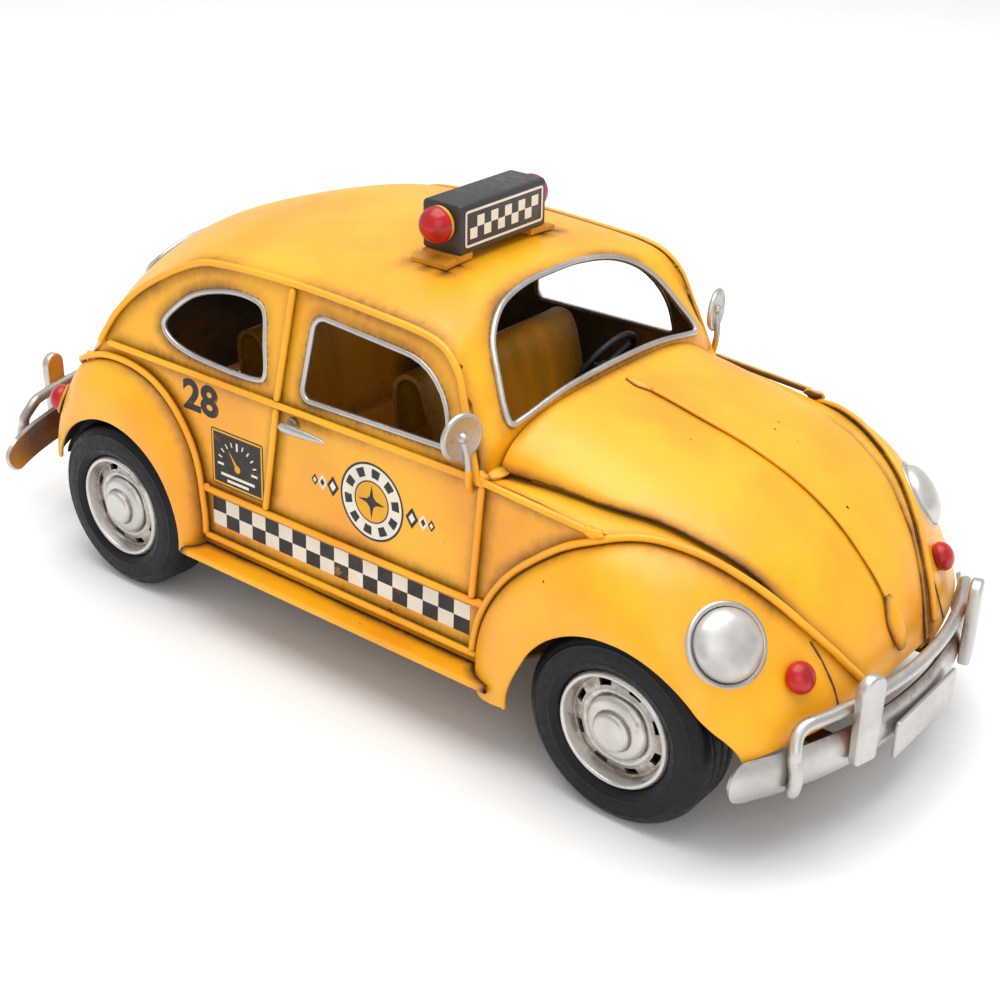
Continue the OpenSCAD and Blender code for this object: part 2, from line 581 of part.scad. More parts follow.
module both_sides() {
  children();
  mirror([0, 1, 0]) children();
}
module door_handles() {
  z = belt_z - 3.6;
  back = from_rear(56);
  color(tin_silver) both_sides() translate([0, side_y(z) + seam, z]) {
    translate([back + 2, 0, 0]) rotate([-90, 0, 0]) cylinder(h = 2.4, d = 2.4, $fn = fine);
    translate([back, 2.2, -1.2]) linear_extrude(2.4)
      polygon(round_outline([[0, 0, 0.5], [14, -0.4, 0.4], [14, 0.8, 0.4], [0, 1.6, 0.7]]));
  }
}

module mirror_piece() {
  turn = 12;
  thick = 1.4;
  stalk_r = 0.8;
  foot = [from_front(-40.4), side_y(belt_z - 2) + seam + stalk_r, belt_z - 2.6];
  knee = [from_front(-39.6), side_y(belt_z) + bead_d + 2 * seam + stalk_r, belt_z];
  head = [from_front(-40.4), side_y(belt_z) + 4.2, belt_z + 10.2];
  bend = lerp(knee, head, 0.5) + [stalk_r, 0, 0];
  wire(curve([foot, knee, bend, head], 4), stalk_r, [1, 0, 0], around = 10);
  translate(head) rotate([0, 90, turn]) cylinder(h = thick, d = mirror_d, center = true, $fn = fine);
}
module mirror_left() { color(tin_silver) mirror_piece(); }
module mirror_right() { color(tin_silver) mirror([0, 1, 0]) mirror_piece(); }

// The ring sits below the wing's crown, where the bowl passes through the wing
ring_sink = 0.9;
module headlight() {
  bowl = headlight_d / 2 - 2 * ring_r - seam / 2;
  depth = 4.4;
  dome = 3.4;
  on_wing(front_wing, front_x, headlight_at) rotate_extrude($fn = fine) polygon(concat(
    [[0, -depth], [bowl * 0.7, -depth], [bowl, -depth * 0.6]],
    [for (k = [0:8]) [bowl * cos(k * 90 / 8), ring_r - ring_sink + dome * sin(k * 90 / 8)]]));
}
module headlight_left() { color(tin_silver) headlight(); }
module headlight_right() { color(tin_silver) mirror([0, 1, 0]) headlight(); }
module headlight_rings() {
  color(tin_silver) both_sides() on_wing(front_wing, front_x, headlight_at) translate([0, 0, -ring_sink])
    rotate_extrude($fn = fine) translate([headlight_d / 2 - ring_r, 0]) circle(r = ring_r, $fn = fine);
}
module lamp_dome() {
  rotate_extrude($fn = fine) polygon(concat([[0, 0]],
    [for (k = [0:8]) [lamp_d / 2 * cos(k * 90 / 8), 1.2 + lamp_d / 2 * 0.8 * sin(k * 90 / 8)]]));
}
module front_lamps() {
  color(lamp_red) both_sides() on_wing(front_wing, front_x, front_lamp_at)
    translate([0, 0, seam / 2]) lamp_dome();
}
module tail_lamps() {
  color(lamp_red) both_sides() on_wing(rear_wing, rear_x, tail_lamp_at)
    translate([0, 0, seam / 2]) lamp_dome();
}

// Bumper, drawn with its outermost point at the origin and facing forward
blade_bulge = 1.6;
blade_wall = 1;
blade_z = 22.2;
// How far the blade's face falls back at a height above or below its middle
function blade_fall(z) = blade_bulge * pow(2 * z / blade_h, 2);
module blade() {
  half_angle = asin(blade_y / blade_r);
  arc = [for (k = [-4:4]) let (z = k * blade_h / 8) [-blade_fall(z), z]];
  translate([-blade_r, 0, 0]) rotate([0, 0, -half_angle]) rotate_extrude(angle = 2 * half_angle, $fn = 96)
    translate([blade_r, 0]) polygon(concat(arc, [for (k = [8:-1:0]) arc[k] - [blade_wall, 0]]));
}
tube_z = 32;
tube_y = 39;
module guard_tube() {
  r = blade_r - tube_d / 2;
  half_angle = asin(tube_y / r);
  foot = blade_h / 2 + seam;
  high = tube_z - blade_z;
  translate([-blade_r, 0, 0]) {
    rotate([0, 0, -half_angle]) rotate_extrude(angle = 2 * half_angle, $fn = 96)
      translate([r, high]) circle(d = tube_d, $fn = fine);
    for (s = [-1, 1]) rotate([0, 0, s * half_angle]) {
      translate([r, 0, high]) sphere(d = tube_d, $fn = fine);
      translate([r, 0, foot]) cylinder(h = high - foot, d = tube_d, $fn = fine);
    }
  }
}
module guards() {
  foot = guard_half - 0.4;
  low = -2;
  high = 18;
  tip = guard_half - 0.1;
  outline = round_outline([
    [-foot, low, 1], [foot, low, 1], [guard_half, high, tip], [-guard_half, high, tip]]);
  for (s = [-1, 1]) translate([-blade_r, 0, 0]) rotate([0, 0, s * guard_turn])
    translate([blade_r + seam, 0, 0]) rotate([90, 0, 90]) linear_extrude(guard_t) polygon(outline);
}
front_face = from_front(front_overhang);
rear_face = from_rear(-rear_overhang);
module at_front() { translate([front_face, 0, blade_z]) children(); }
module at_rear() { translate([rear_face, 0, blade_z]) mirror([1, 0, 0]) children(); }
module front_blade() { color(tin_silver) at_front() blade(); }
module rear_blade() { color(tin_silver) at_rear() blade(); }
module front_guard_tube() { color(tin_silver) at_front() guard_tube(); }
module rear_guard_tube() { color(tin_silver) at_rear() guard_tube(); }
module front_guards() { color(tin_silver) at_front() guards(); }
module rear_guards() { color(tin_silver) at_rear() guards(); }
module front_plate() {
  half = 13.5;
  low = -6.4;
  high = 2.2;
  color([0.85, 0.84, 0.82]) at_front() translate([seam, 0, 0]) rotate([90, 0, 90]) linear_extrude(sheet)
    polygon(round_outline([[-half, low, 0.6], [half, low, 0.6], [half, high, 0.6], [-half, high, 0.6]]));
}
// Flat irons that carry the blades on the floor pan
module bumper_irons() {
  wide = 6;
  thick = 1.4;
  reach = guard_gap / 2 + wide / 2;
  inner = blade_r - blade_wall - blade_fall(floor_top - blade_z);
  back = blade_r - sqrt(pow(inner, 2) - pow(reach, 2)) + seam;
  front_root = from_front(14);
  rear_root = from_rear(-20);
  color(dark_tin) for (s = [-1, 1]) translate([0, s * guard_gap / 2 - wide / 2, floor_top]) {
    translate([front_root, 0, 0]) cube([front_face - back - front_root, wide, thick]);
    translate([rear_face + back, 0, 0]) cube([rear_root - rear_face - back, wide, thick]);
  }
}

// The sign stands by this row of the roof.
sign_station = 6;
sign_x = roof_crown[sign_station][0] - 0.4;
sign_z = roof_z + 1.4;
module sign_box() {
  half = sign_d / 2;
  color([0.10, 0.09, 0.08]) translate([sign_x, sign_l / 2, sign_z]) rotate([90, 0, 0]) linear_extrude(sign_l)
    polygon(round_outline([[-half, 0, 0.5], [half, 0, 0.5], [half, sign_h, 1], [-half, sign_h, 1]]));
}
// Greatest height of the roof under the sign's feet at a distance from the middle
foot_depth = 10;
function roof_at(y) = max([for (k = [-8:12])
  let (p = arch_surface(roof_arch, sign_station + k / 8, y / roof_arch[sign_station][1]))
  if (abs(p[0] - sign_x) < foot_depth / 2 + sheet) p[2]]);
module sign_feet() {
  tab = 1;
  end = sign_l / 2;
  ys = [end - 4.5, end + 0.4, end + 4.4];
  under = [for (y = ys) [y, roof_at(y) + 1.5 * seam]];
  seat = sign_z - seam / 2;
  over = [under[2] + [0, tab], under[1] + [0, tab], [ys[1], seat], [ys[0], seat]];
  color(taxi_yellow) both_sides() translate([sign_x - foot_depth / 2, 0, 0]) rotate([90, 0, 90])
    linear_extrude(foot_depth) polygon(concat(under, over));
}
module sign_lamps() {
  r = sign_lamp_d / 2;
  neck = r - 0.6;
  collar = 1.4;
  dome = [for (k = [0:8]) [r * cos(k * 90 / 8), collar + r * sin(k * 90 / 8)]];
  color(lamp_red) both_sides() translate([sign_x, sign_l / 2 + seam / 2, sign_z + sign_h * 0.58])
    rotate([-90, 0, 0]) rotate_extrude($fn = fine) polygon(concat([[0, 0], [neck, 0]], dome));
}

// The two seats share the cabin's length: each takes its part ahead of and behind its own back.
cabin_front = from_front(-43);
cabin_back = from_rear(21);
seat_share = (cabin_front - cabin_back) / 86;
seat_ahead = 27 * seat_share;
seat_behind = 6 * seat_share;
// Bench folded from one sheet, in side view: apron, cushion, back and fold over the top
module bench(x, width, top) {
  fold = 1.2;
  cushion = 41;
  path = curve([
    [seat_ahead - seat_share, floor_top + seam], [seat_ahead, cushion - 3], [24 * seat_share, cushion + 0.6],
    [12 * seat_share, cushion - 1.4], [8 * seat_share, cushion + 3], [2.6 * seat_share, top - 5],
    [-1.6 * seat_share, top - fold / 2], [-seat_behind, top - 4], [seat_share - seat_behind, top - 16]], 3);
  n = len(path) - 1;
  way = [for (i = [0:n]) unit(path[min(i + 1, n)] - path[max(i - 1, 0)])];
  side = [for (t = way) [t[1], -t[0]] * fold / 2];
  translate([x, width / 2, 0]) rotate([90, 0, 0]) linear_extrude(width)
    polygon(concat([for (i = [0:n]) path[i] + side[i]], [for (i = [n:-1:0]) path[i] - side[i]]));
}
module front_seat() { color(seat_tan) bench(cabin_front - seat_ahead, seat_w, seat_z); }
module rear_seat() { color(seat_tan) bench(cabin_back + seat_behind, 50, seat_z - 4); }
dash_x = from_front(-44);
module dashboard() {
  low = belt_z - 10;
  high = belt_z + 4.6;
  edge = [for (z = [low, belt_z, high]) [side_y(z) - sheet / cos(lean_high) - seam, z]];
  color(dark_tin) translate([dash_x, 0, 0]) rotate([90, 0, 90]) linear_extrude(2)
    polygon(concat(edge, [for (i = [2:-1:0]) [-edge[i][0], edge[i][1]]]));
}
steer_at = [from_front(-51), 16, 65.5];
module steering_wheel() {
  tilt = 62;
  hub_r = 2;
  column = (dash_x - seam - steer_at[0] - hub_r * cos(tilt)) / sin(tilt);
  color(rubber_black) translate(steer_at) rotate([0, -tilt, 0]) {
    rotate_extrude($fn = fine) translate([steer_d / 2 - 0.8, 0]) circle(r = 0.8, $fn = fine);
    for (a = [60, 180, 300]) rotate([0, 0, a]) translate([0, -0.8, -0.5]) cube([steer_d / 2 - 0.8, 1.6, 1]);
    translate([0, 0, -column]) cylinder(h = column + 1, r = hub_r, $fn = fine);
  }
}

// How far the axles end inside the tyres' outer faces
axle_sink = 6.5;
module axle(x) {
  long = track_w - 2 * axle_sink;
  translate([x, 0, axle_z]) rotate([90, 0, 0]) cylinder(h = long, d = axle_d, center = true, $fn = fine);
}
module front_axle() { color(tin_silver) axle(front_x); }
module rear_axle() { color(tin_silver) axle(rear_x); }

// Wheels, drawn with the outer face of the tyre at height 0 and the axle along Z
module tyre() {
  r = tyre_d / 2;
  bore = rim_d / 2 + 0.05;
  groove = 0.5;
  rotate_extrude($fn = 96) difference() {
    polygon(round_outline([
      [bore, -tyre_w + 1.4, 0.6], [bore, -1.4, 0.6], [bore + 2.4, 0, 1.4], [r - 1.6, -0.6, 1.8],
      [r, -3, 1.6], [r, -tyre_w + 3, 1.6], [r - 1.6, -tyre_w + 0.6, 1.8], [bore + 2.4, -tyre_w, 1.4]]));
    for (k = [-1, 0, 1]) translate([r - groove, -tyre_w / 2 + k * 2.6 - 0.35]) square([groove * 2, 0.7]);
  }
}
module rim() {
  r = rim_d / 2;
  hub = axle_d / 2 + 0.02;
  inside = (track_w - ear_w) / 2 - 0.6;
  slots = 8;
  difference() {
    rotate_extrude($fn = 96) polygon([
      [hub, -inside], [4, -inside], [4, -6.6], [r - 1.6, -5.2], [r - 1.2, -tyre_w + 1.5],
      [r, -tyre_w + 1.5], [r, -1.4], [r - 0.6, -0.4], [r - 1.4, -0.6], [r - 2, -3.4],
      [r - 4.6, -2.4], [7.6, -3.2], [4, -4.7], [hub, -4.7]]);
    for (a = [0:slots - 1]) rotate([0, 0, a * 360 / slots]) translate([r - 3.6, 0, -8])
      linear_extrude(7.2) square([1.5, 4.4], center = true);
  }
  translate([0, 0, -4.4]) rotate_extrude($fn = 72) polygon([
    [0, 0], [4, 0], [7.2, 1.3], [7.2, 2.2], [6.4, 2.9],
    [4.6, 3.3], [4.5, 4.2], [3.8, 4.8], [1.8, 5.1], [0, 5.2]]);
}
module wheel_at(x, side) {
  translate([x, side * track_w / 2, axle_z]) rotate([side > 0 ? -90 : 90, 0, 0]) children();
}
module tyre_front_right() { color(rubber_black) wheel_at(front_x, -1) tyre(); }
module tyre_front_left() { color(rubber_black) wheel_at(front_x, 1) tyre(); }
module tyre_rear_right() { color(rubber_black) wheel_at(rear_x, -1) tyre(); }
module tyre_rear_left() { color(rubber_black) wheel_at(rear_x, 1) tyre(); }
module rim_front_right() { color(tin_silver) wheel_at(front_x, -1) rim(); }
module rim_front_left() { color(tin_silver) wheel_at(front_x, 1) rim(); }
module rim_rear_right() { color(tin_silver) wheel_at(rear_x, -1) rim(); }
module rim_rear_left() { color(tin_silver) wheel_at(rear_x, 1) rim(); }

floor_pan();
side_panel_right();
side_panel_left();
roof_panel();
bonnet();
cowl_strip_right();
cowl_strip_left();
front_wing_right();
front_wing_left();
rear_wing_right();
rear_wing_left();
running_board_right();
running_board_left();
windscreen_frame();
rear_window_frame();
door_window_frame_right();
door_window_frame_left();
quarter_window_frame_right();
quarter_window_frame_left();
side_beads_right();
side_beads_left();
roof_bead_right();
roof_bead_left();
wing_beads_right();
wing_beads_left();
bonnet_ridge();
bonnet_handle();
door_handles();
mirror_right();
mirror_left();
headlight_right();
headlight_left();
headlight_rings();
front_lamps();
tail_lamps();
front_blade();
front_guard_tube();
front_guards();
front_plate();
rear_blade();
rear_guard_tube();
rear_guards();
bumper_irons();
sign_box();
sign_feet();
sign_lamps();
front_seat();
rear_seat();
dashboard();
steering_wheel();
front_axle();
rear_axle();
tyre_front_right();
tyre_front_left();
tyre_rear_right();
tyre_rear_left();
rim_front_right();
rim_front_left();
rim_rear_right();
rim_rear_left();
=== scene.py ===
"""Toy taxi: painted tin, soldered wire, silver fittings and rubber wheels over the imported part.

All lengths in the formulas are millimetres; put() turns them into metres.
X points forward, Y to the left, Z up, as in the frame.
"""

import math

import bpy
import numpy as np
from bpy.props import FloatProperty, FloatVectorProperty, IntProperty, PointerProperty
from mathutils import Matrix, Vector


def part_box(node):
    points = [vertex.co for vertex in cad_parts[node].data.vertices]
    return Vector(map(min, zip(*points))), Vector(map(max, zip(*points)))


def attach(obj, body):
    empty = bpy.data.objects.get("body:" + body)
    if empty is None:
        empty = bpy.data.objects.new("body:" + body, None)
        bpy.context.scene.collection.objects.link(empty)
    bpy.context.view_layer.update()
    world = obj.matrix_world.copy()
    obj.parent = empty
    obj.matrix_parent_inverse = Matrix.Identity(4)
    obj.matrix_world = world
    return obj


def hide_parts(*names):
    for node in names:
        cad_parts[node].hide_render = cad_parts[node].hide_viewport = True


bl_info = {
    "name": "Toy taxi",
    "version": (1, 0, 0),
    "blender": (4, 5, 0),
    "location": "View3D > Sidebar > Taxi",
    "description": "Builds the looks of a hand-made tin taxi over its packed frame",
    "category": "Object",
}

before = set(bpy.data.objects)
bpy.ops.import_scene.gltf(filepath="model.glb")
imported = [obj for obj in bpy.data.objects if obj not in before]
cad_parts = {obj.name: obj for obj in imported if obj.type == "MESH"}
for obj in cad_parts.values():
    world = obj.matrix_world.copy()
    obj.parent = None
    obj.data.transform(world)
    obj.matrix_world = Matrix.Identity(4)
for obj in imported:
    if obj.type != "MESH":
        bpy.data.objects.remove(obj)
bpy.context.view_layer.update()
MM = 0.001


def middle(node):
    """Middle of a frame node's box."""
    low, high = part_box(node)
    return (np.array(low) + np.array(high)) / 2 / MM


FRONT_X, _, AXLE_Z = middle("front_axle")
REAR_X = middle("rear_axle")[0]
TRACK_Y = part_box("tyre_front_left")[1].y / MM
# Half widths and heights of the body's lines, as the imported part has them
SILL_Y, BELT_Y, ROOF_Y = 45.0, 43.5, 38.75
SILL_Z, STRIPE_Z, BELT_Z, GUTTER_Z = 20.0, 35.2, 63.3, 90.0
ROOF_Z, COWL_Z = 95.2, 73.4
WING_Y, ARCH_R = 53.0, 23.2
POST_X, SIGN_X = FRONT_X - 96, FRONT_X - 73.4
# Sheet, radius of the bead wire, gap that solder fills, and how far a bead's middle stands off a sheet
SHEET, BEAD_R, SEAM = 0.8, 0.8, 0.2
GAP, ON_BEAD = 2 * SEAM, BEAD_R + SEAM
SIDES = ((1, "left"), (-1, "right"))
MIRROR = np.array([1, -1, 1])
AHEAD, LEFT, UP = np.eye(3)


# Values that a user would change


def srgb(red, green, blue):
    """Screen colour, 0 to 255, as linear light."""
    c = np.array([red, green, blue]) / 255
    return tuple(float(x) for x in np.where(c <= 0.04045, c / 12.92, ((c + 0.055) / 1.055) ** 2.4))


def colour(name, text, *rgb):
    """Colour property whose default is a screen colour."""
    return FloatVectorProperty(
        name=name, description=text, subtype="COLOR", size=3, min=0, max=1, default=srgb(*rgb)
    )


def length(name, text, size):
    """Length property whose default is in millimetres."""
    return FloatProperty(
        name=name, description=text, subtype="DISTANCE", unit="LENGTH", default=size * MM, min=0.01 * MM
    )


def power(name, text, watts):
    """Power property of a light."""
    return FloatProperty(name=name, description=text, subtype="POWER", default=watts, min=0)


class TaxiSizes(bpy.types.PropertyGroup):
    """Sizes of the wire, sheet and printed pieces"""

    sheet: length("Sheet", "Thickness of the tin sheet", SHEET)
    bead: length("Bead wire", "Diameter of the soldered bead wire", 2 * BEAD_R)
    frame_wire: length("Window wire", "Diameter of the window frame wire", 1.4)
    print_lift: length("Print", "How far the printed pieces stand off the paint", 0.05)
    stripe_columns: IntProperty(
        name="Stripe columns", description="Squares along the sill stripe", default=18, min=6, max=30
    )
    wheel_slots: IntProperty(
        name="Wheel slots", description="Slots round each wheel disc", default=8, min=4, max=12
    )


class TaxiColours(bpy.types.PropertyGroup):
    """Colours of the paint, metal, rubber and print"""

    paint: colour("Paint", "Taxi yellow of the tin body", 248, 178, 14)
    paint_deep: colour("Deep paint", "Warmer yellow where the coat is thin", 239, 157, 10)
    # The wash colour is also the colour of painted shade in seams, folds and at the feet of parts
    wash_and_shade: colour("Wash", "Brown antique wash in the seams", 74, 36, 8)
    silver: colour("Silver", "Tin silver of the fittings", 205, 202, 198)
    patina: colour("Patina", "Brown patina on the silver", 112, 84, 58)
    red: colour("Red", "Glossy red of the lamps", 192, 8, 22)
    rubber: colour("Rubber", "Black of the tyres", 13, 13, 16)
    black: colour("Black", "Black of the sign and the print", 24, 23, 24)
    cream: colour("Cream", "Cream of the print", 236, 228, 212)
    # Inside is dark tin, made dark enough to stand for the shade inside the body: painted shade
    inside: colour("Inside", "Dark tin inside the body", 58, 44, 18)
    seat: colour("Seat", "Ochre paint of the seats", 246, 156, 16)


class TaxiStage(bpy.types.PropertyGroup):
    """Floor and lights"""

    floor: colour("Floor", "Pale floor", 250, 249, 248)
    key: power("Key light", "Large soft light overhead", 12.0)
    fill: power("Fill light", "Soft light from the front", 2.6)
    sky: FloatProperty(name="Sky", description="Even light from all round", default=0.62, min=0, max=4)


# Curves and surfaces


def unit(v):
    """Vectors along the last axis, made one long."""
    return v / np.maximum(np.linalg.norm(v, axis=-1, keepdims=True), 1e-9)


def quarter(count):
    """Angles of a quarter turn, with both ends."""
    return np.radians(np.linspace(0, 90, count))


def whole_turn(count):
    """Angles of a whole turn, without its end."""
    return np.linspace(0, 2 * np.pi, count, endpoint=False)


def rays(angle, a, b):
    """Directions at angles from a towards b."""
    return np.cos(angle)[:, None] * a + np.sin(angle)[:, None] * b


def spline(a, b, c, d, f):
    """Cubic through b and c with the slopes (c-a)/2 and (d-b)/2."""
    return 0.5 * (2 * b + (c - a) * f + (2 * a - 5 * b + 4 * c - d) * f**2 + (3 * b - a - 3 * c + d) * f**3)


def curve_at(points, t):
    """Smooth curve through the points, at fractional index t."""
    p, t = np.asarray(points, float), np.asarray(t, float)
    last = len(p) - 1
    i = np.clip(np.floor(t).astype(int), 0, last - 1)
    f = (t - i)[..., None]
    return spline(p[np.maximum(i - 1, 0)], p[i], p[i + 1], p[np.minimum(i + 2, last)], f)


def loop_at(points, t):
    """Smooth closed curve through the points, at fractional index t."""
    p, t = np.asarray(points, float), np.asarray(t, float)
    i, n = np.floor(t).astype(int), len(p)
    f = (t - i)[..., None]
    return spline(p[(i - 1) % n], p[i % n], p[(i + 1) % n], p[(i + 2) % n], f)


def table_at(rows, key):
    """Smooth row of a table at a value of its first column."""
    rows = np.asarray(rows, float)
    keys = rows[:, 0]
    i = np.clip(np.searchsorted(keys[1:], key), 0, len(rows) - 2)
    return curve_at(rows, i + (key - keys[i]) / (keys[i + 1] - keys[i]))


def side_y(z):
    """Half width of the body at height z: two planes that meet at the belt."""
    low = BELT_Y + (BELT_Z - z) * (SILL_Y - BELT_Y) / (BELT_Z - SILL_Z)
    high = BELT_Y - (z - BELT_Z) * (BELT_Y - ROOF_Y) / (GUTTER_Z - BELT_Z)
    return np.where(np.asarray(z) < BELT_Z, low, high)


def wing_rows(rows):
    """Rows of angle, seam radius, seam half width, lip radius, lip half width and fullness.

    The lip is given by how far it lies beyond the arch and inside the wing's reach.
    """
    return np.array([[a, r, y, ARCH_R + lip, WING_Y - back, full] for a, r, y, lip, back, full in rows])


FRONT_WING = wing_rows([
    (9, 38.4, 13.5, 5.4, 6.5, 1.3), (29, 36.2, 20.3, 1.9, 2.4, 1.3), (43, 35.8, 25.4, 1, 1.2, 1.35),
    (61, 36.9, 31, 0.3, 0.6, 1.45), (77, 38.1, 35.4, 0, 0.2, 1.6), (92, 38.8, 39.6, -0.2, 0, 1.7),
    (106, 37.9, side_y(58), -0.4, 0.2, 1.8), (127, 36.4, side_y(51) + GAP, -0.4, 0.5, 1.9),
    (147, 36.8, side_y(42) + GAP, 0, 1, 1.9), (165, 37.4, side_y(31) + GAP, 0.8, 1.4, 1.9),
    (191, 37.6, side_y(15) + GAP, 4, 2.4, 1.8),
])
REAR_WING = wing_rows([
    (-8, 27.4, side_y(18) + GAP, 0.4, 2.6, 1.8), (20, 29, side_y(31) + GAP, 0.8, 2.2, 1.9),
    (45, 33.6, side_y(45) + GAP, 1.4, 2, 1.9), (70, 37.2, side_y(57) + GAP, 1.4, 2, 1.9),
    (95, 37.6, side_y(60) + GAP, 1, 2.2, 1.9), (115, 36.6, side_y(56) - 0.8, 0.6, 2.6, 1.8),
    (133, 36.2, 35.6, 0.8, 3.4, 1.7), (150, 35.6, 31.4, 1.6, 4.6, 1.6), (170, 35, 28.4, 4, 7, 1.5),
])


def wing(rows, axle_x, angle, u):
    """Wing: at each angle round the axle a squared quarter round from the seam, u 0, to the lip, u 1."""
    angle, u = np.broadcast_arrays(np.asarray(angle, float), np.asarray(u, float))
    w = table_at(rows, angle)
    e = 2 / w[..., 5]
    phi = np.pi / 2 * np.clip(u, 0, 1)
    r = w[..., 3] + (w[..., 1] - w[..., 3]) * np.cos(phi).clip(0) ** e
    y = w[..., 2] + (w[..., 4] - w[..., 2]) * np.sin(phi).clip(0) ** e
    a = np.radians(angle)
    return np.stack([axle_x + r * np.cos(a), y, AXLE_Z + r * np.sin(a)], -1)


def front_wing(angle, u):
    """Wing about the front axle."""
    return wing(FRONT_WING, FRONT_X, angle, u)


def rear_wing(angle, u):
    """Wing about the rear axle."""
    return wing(REAR_WING, REAR_X, angle, u)


def arch(stations, t, q):
    """Arched sheet: from the edge to the crown by (1 - |v|^fullness)^(1/roundness), v = sin(90 q)."""
    s = curve_at(stations, t)
    v = np.sin(np.pi / 2 * q)
    w = np.maximum(1 - np.abs(v) ** s[..., 5], 0) ** (1 / s[..., 6])
    x = s[..., 0] + (s[..., 3] - s[..., 0]) * w
    z = s[..., 2] + (s[..., 4] - s[..., 2]) * w
    return np.stack([x, v * s[..., 1], z], -1)


# The cowl's edge runs along the side under the belt and down the front wing's seam
INSET = np.array([0, -0.7, 0])
COWL_EDGE = np.array([
    [FRONT_X - 38.2, side_y(BELT_Z) - SHEET, BELT_Z - 0.4],
    [FRONT_X - 25, side_y(62) - SHEET, BELT_Z - 1],
    front_wing(103, 0) + INSET + [-1, 0, 1.6], front_wing(90, 0) + INSET + [0, 0, 0.2],
    *(front_wing(a, 0) + INSET for a in (77, 62, 48, 39, 26, 11)),
])
# The bonnet's edge lies inside the cowl's, and its crown is given in X and Z
BONNET_IN = np.array([
    [0.4, -4.6, 0.2], [-1, -5.6, 1], [-4, -6.4, 2.2], [-3, -4.8, 1.2], [-2.2, -3.2, 0.8],
    [-1.6, -2.2, 0.8], [-0.6, -1.6, -0.6], [-0.4, -1.4, -0.6], [-0.4, -1.3, -0.6], [-0.3, -1.2, -0.4],
])
BONNET_EDGE = COWL_EDGE + BONNET_IN
BONNET_CROWN = np.array([
    [-37.2, 0], [-25, -2], [-14, -4.4], [-2, -7.2], [10, -11.6], [19.4, -17.2], [27, -24.2],
    [31.8, -30], [35.4, -36.6], [37.4, -44.6],
]) + [FRONT_X, COWL_Z]
BONNET_FULL = np.array([4, 3.4, 3, 2.7, 2.5, 2.4, 2.3, 2.2, 2.2, 2.2])
BONNET_ROUND = np.full(len(BONNET_FULL), 1.9)
BONNET = np.column_stack([BONNET_EDGE, BONNET_CROWN, BONNET_FULL, BONNET_ROUND])
BONNET_END = len(BONNET) - 1
BONNET_LINE = curve_at(BONNET_EDGE, np.linspace(0, BONNET_END, 400))


def bonnet(t, q):
    """Bonnet: t from the windscreen to the nose, q from the right edge to the left one."""
    return arch(BONNET, t, q)


# Roof seam from the screen pillar's foot over the door to the tail: [x, share of the window band]
ROOF_SEAM = np.array([
    *([FRONT_X + x, u] for x, u in (
        (-38.6, -0.06), (-39.2, 0.03), (-41.5, 0.26), (-44.2, 0.52), (-47.4, 0.78), (-54, 0.945), (-70, 1))),
    *([REAR_X + x, u] for x, u in (
        (57, 1.03), (36, 1.01), (24, 0.93), (8.5, 0.62), (-1, 0.31), (-6.6, 0))),
])
SEAM_XZ = np.column_stack([ROOF_SEAM[:, 0], BELT_Z + ROOF_SEAM[:, 1] * (GUTTER_Z - BELT_Z)])
SEAM_Y = side_y(SEAM_XZ[:, 1]) - np.where(SEAM_XZ[:, 1] < BELT_Z - SEAM, SHEET + SEAM, 0)
ROOF_EDGE = np.array([
    *np.column_stack([SEAM_XZ[:, 0], SEAM_Y, SEAM_XZ[:, 1]]),
    *(rear_wing(a, 0) + INSET for a in (118, 133, 150, 168)),
])
ROOF_CROWN = np.array([
    *([FRONT_X + x, COWL_Z + z] for x, z in ((-38.4, -4), (-37.6, 0.8), (-42.4, 7), (-47.8, 13.2))),
    *([FRONT_X + x, ROOF_Z + z] for x, z in ((-54, -3.2), (-62, -1.1), (-73, -0.4))),
    *([REAR_X + x, ROOF_Z + z] for x, z in (
        (57, 0.1), (35, -0.6), (19.4, -2), (1, -7.8), (-14.6, -16.8), (-27.4, -27.8), (-34, -39),
        (-37.6, -48.6), (-39.4, -58), (-39.6, -69))),
])
ROOF_FULL = [2.4, 4, 4, 3.8, 3, 2.5, 2.5, 2.5, 2.5, 2.3, 2, 1.9, 1.9, 1.9, 1.9, 2, 2]
ROOF_ROUND = [0.8, 2, 2, 1.9, 1.6, 1.4, 1.5, 1.5, 1.5, 1.3, 0.95, 0.95, 1, 1, 1, 1, 1]
ROOF = np.column_stack([ROOF_EDGE, ROOF_CROWN, ROOF_FULL, ROOF_ROUND])
SIGN_STATION = 6.0


def roof(t, q):
    """Roof: t from the foot of the windscreen to the tail, q from the right edge to the left one."""
    return arch(ROOF, t, q)


def whole_loop(half):
    """Loop on the roof sheet from one half: stations and angles across, mirrored about the middle."""
    half = np.array(half, float)
    half[:, 1] = np.arcsin(half[:, 1]) * 2 / np.pi
    return np.concatenate([half, half[-2:0:-1] * [1, -1]])


SCREEN = whole_loop([
    (1.16, 0), (1.12, 0.35), (1.0, 0.7), (1.22, 0.81), (2.3, 0.772), (3.2, 0.70), (3.8, 0.53),
    (4.06, 0.26), (4.1, 0)])
BACK = whole_loop([
    (11, 0), (11.04, 0.24), (11.16, 0.38), (11.42, 0.43), (11.7, 0.38), (11.86, 0.24), (11.9, 0)])


def round_outline(corners):
    """Outline of straight sides with arcs at the corners; each corner is x, y, radius."""
    steps = 9
    pts = np.array(corners, float)
    c, r = pts[:, :2], pts[:, 2:]
    u, v = unit(np.roll(c, 1, 0) - c), unit(np.roll(c, -1, 0) - c)
    half = np.arccos(np.clip((u * v).sum(1), -1, 1))[:, None] / 2
    m = c + unit(u + v) * r / np.sin(half)
    back = r / np.tan(half)
    k = np.linspace(0, 1, steps)[None, :, None]
    q = (c + u * back)[:, None] * (1 - k) + (c + v * back)[:, None] * k
    return (m[:, None] + unit(q - m[:, None]) * r[:, None]).reshape(-1, 2)


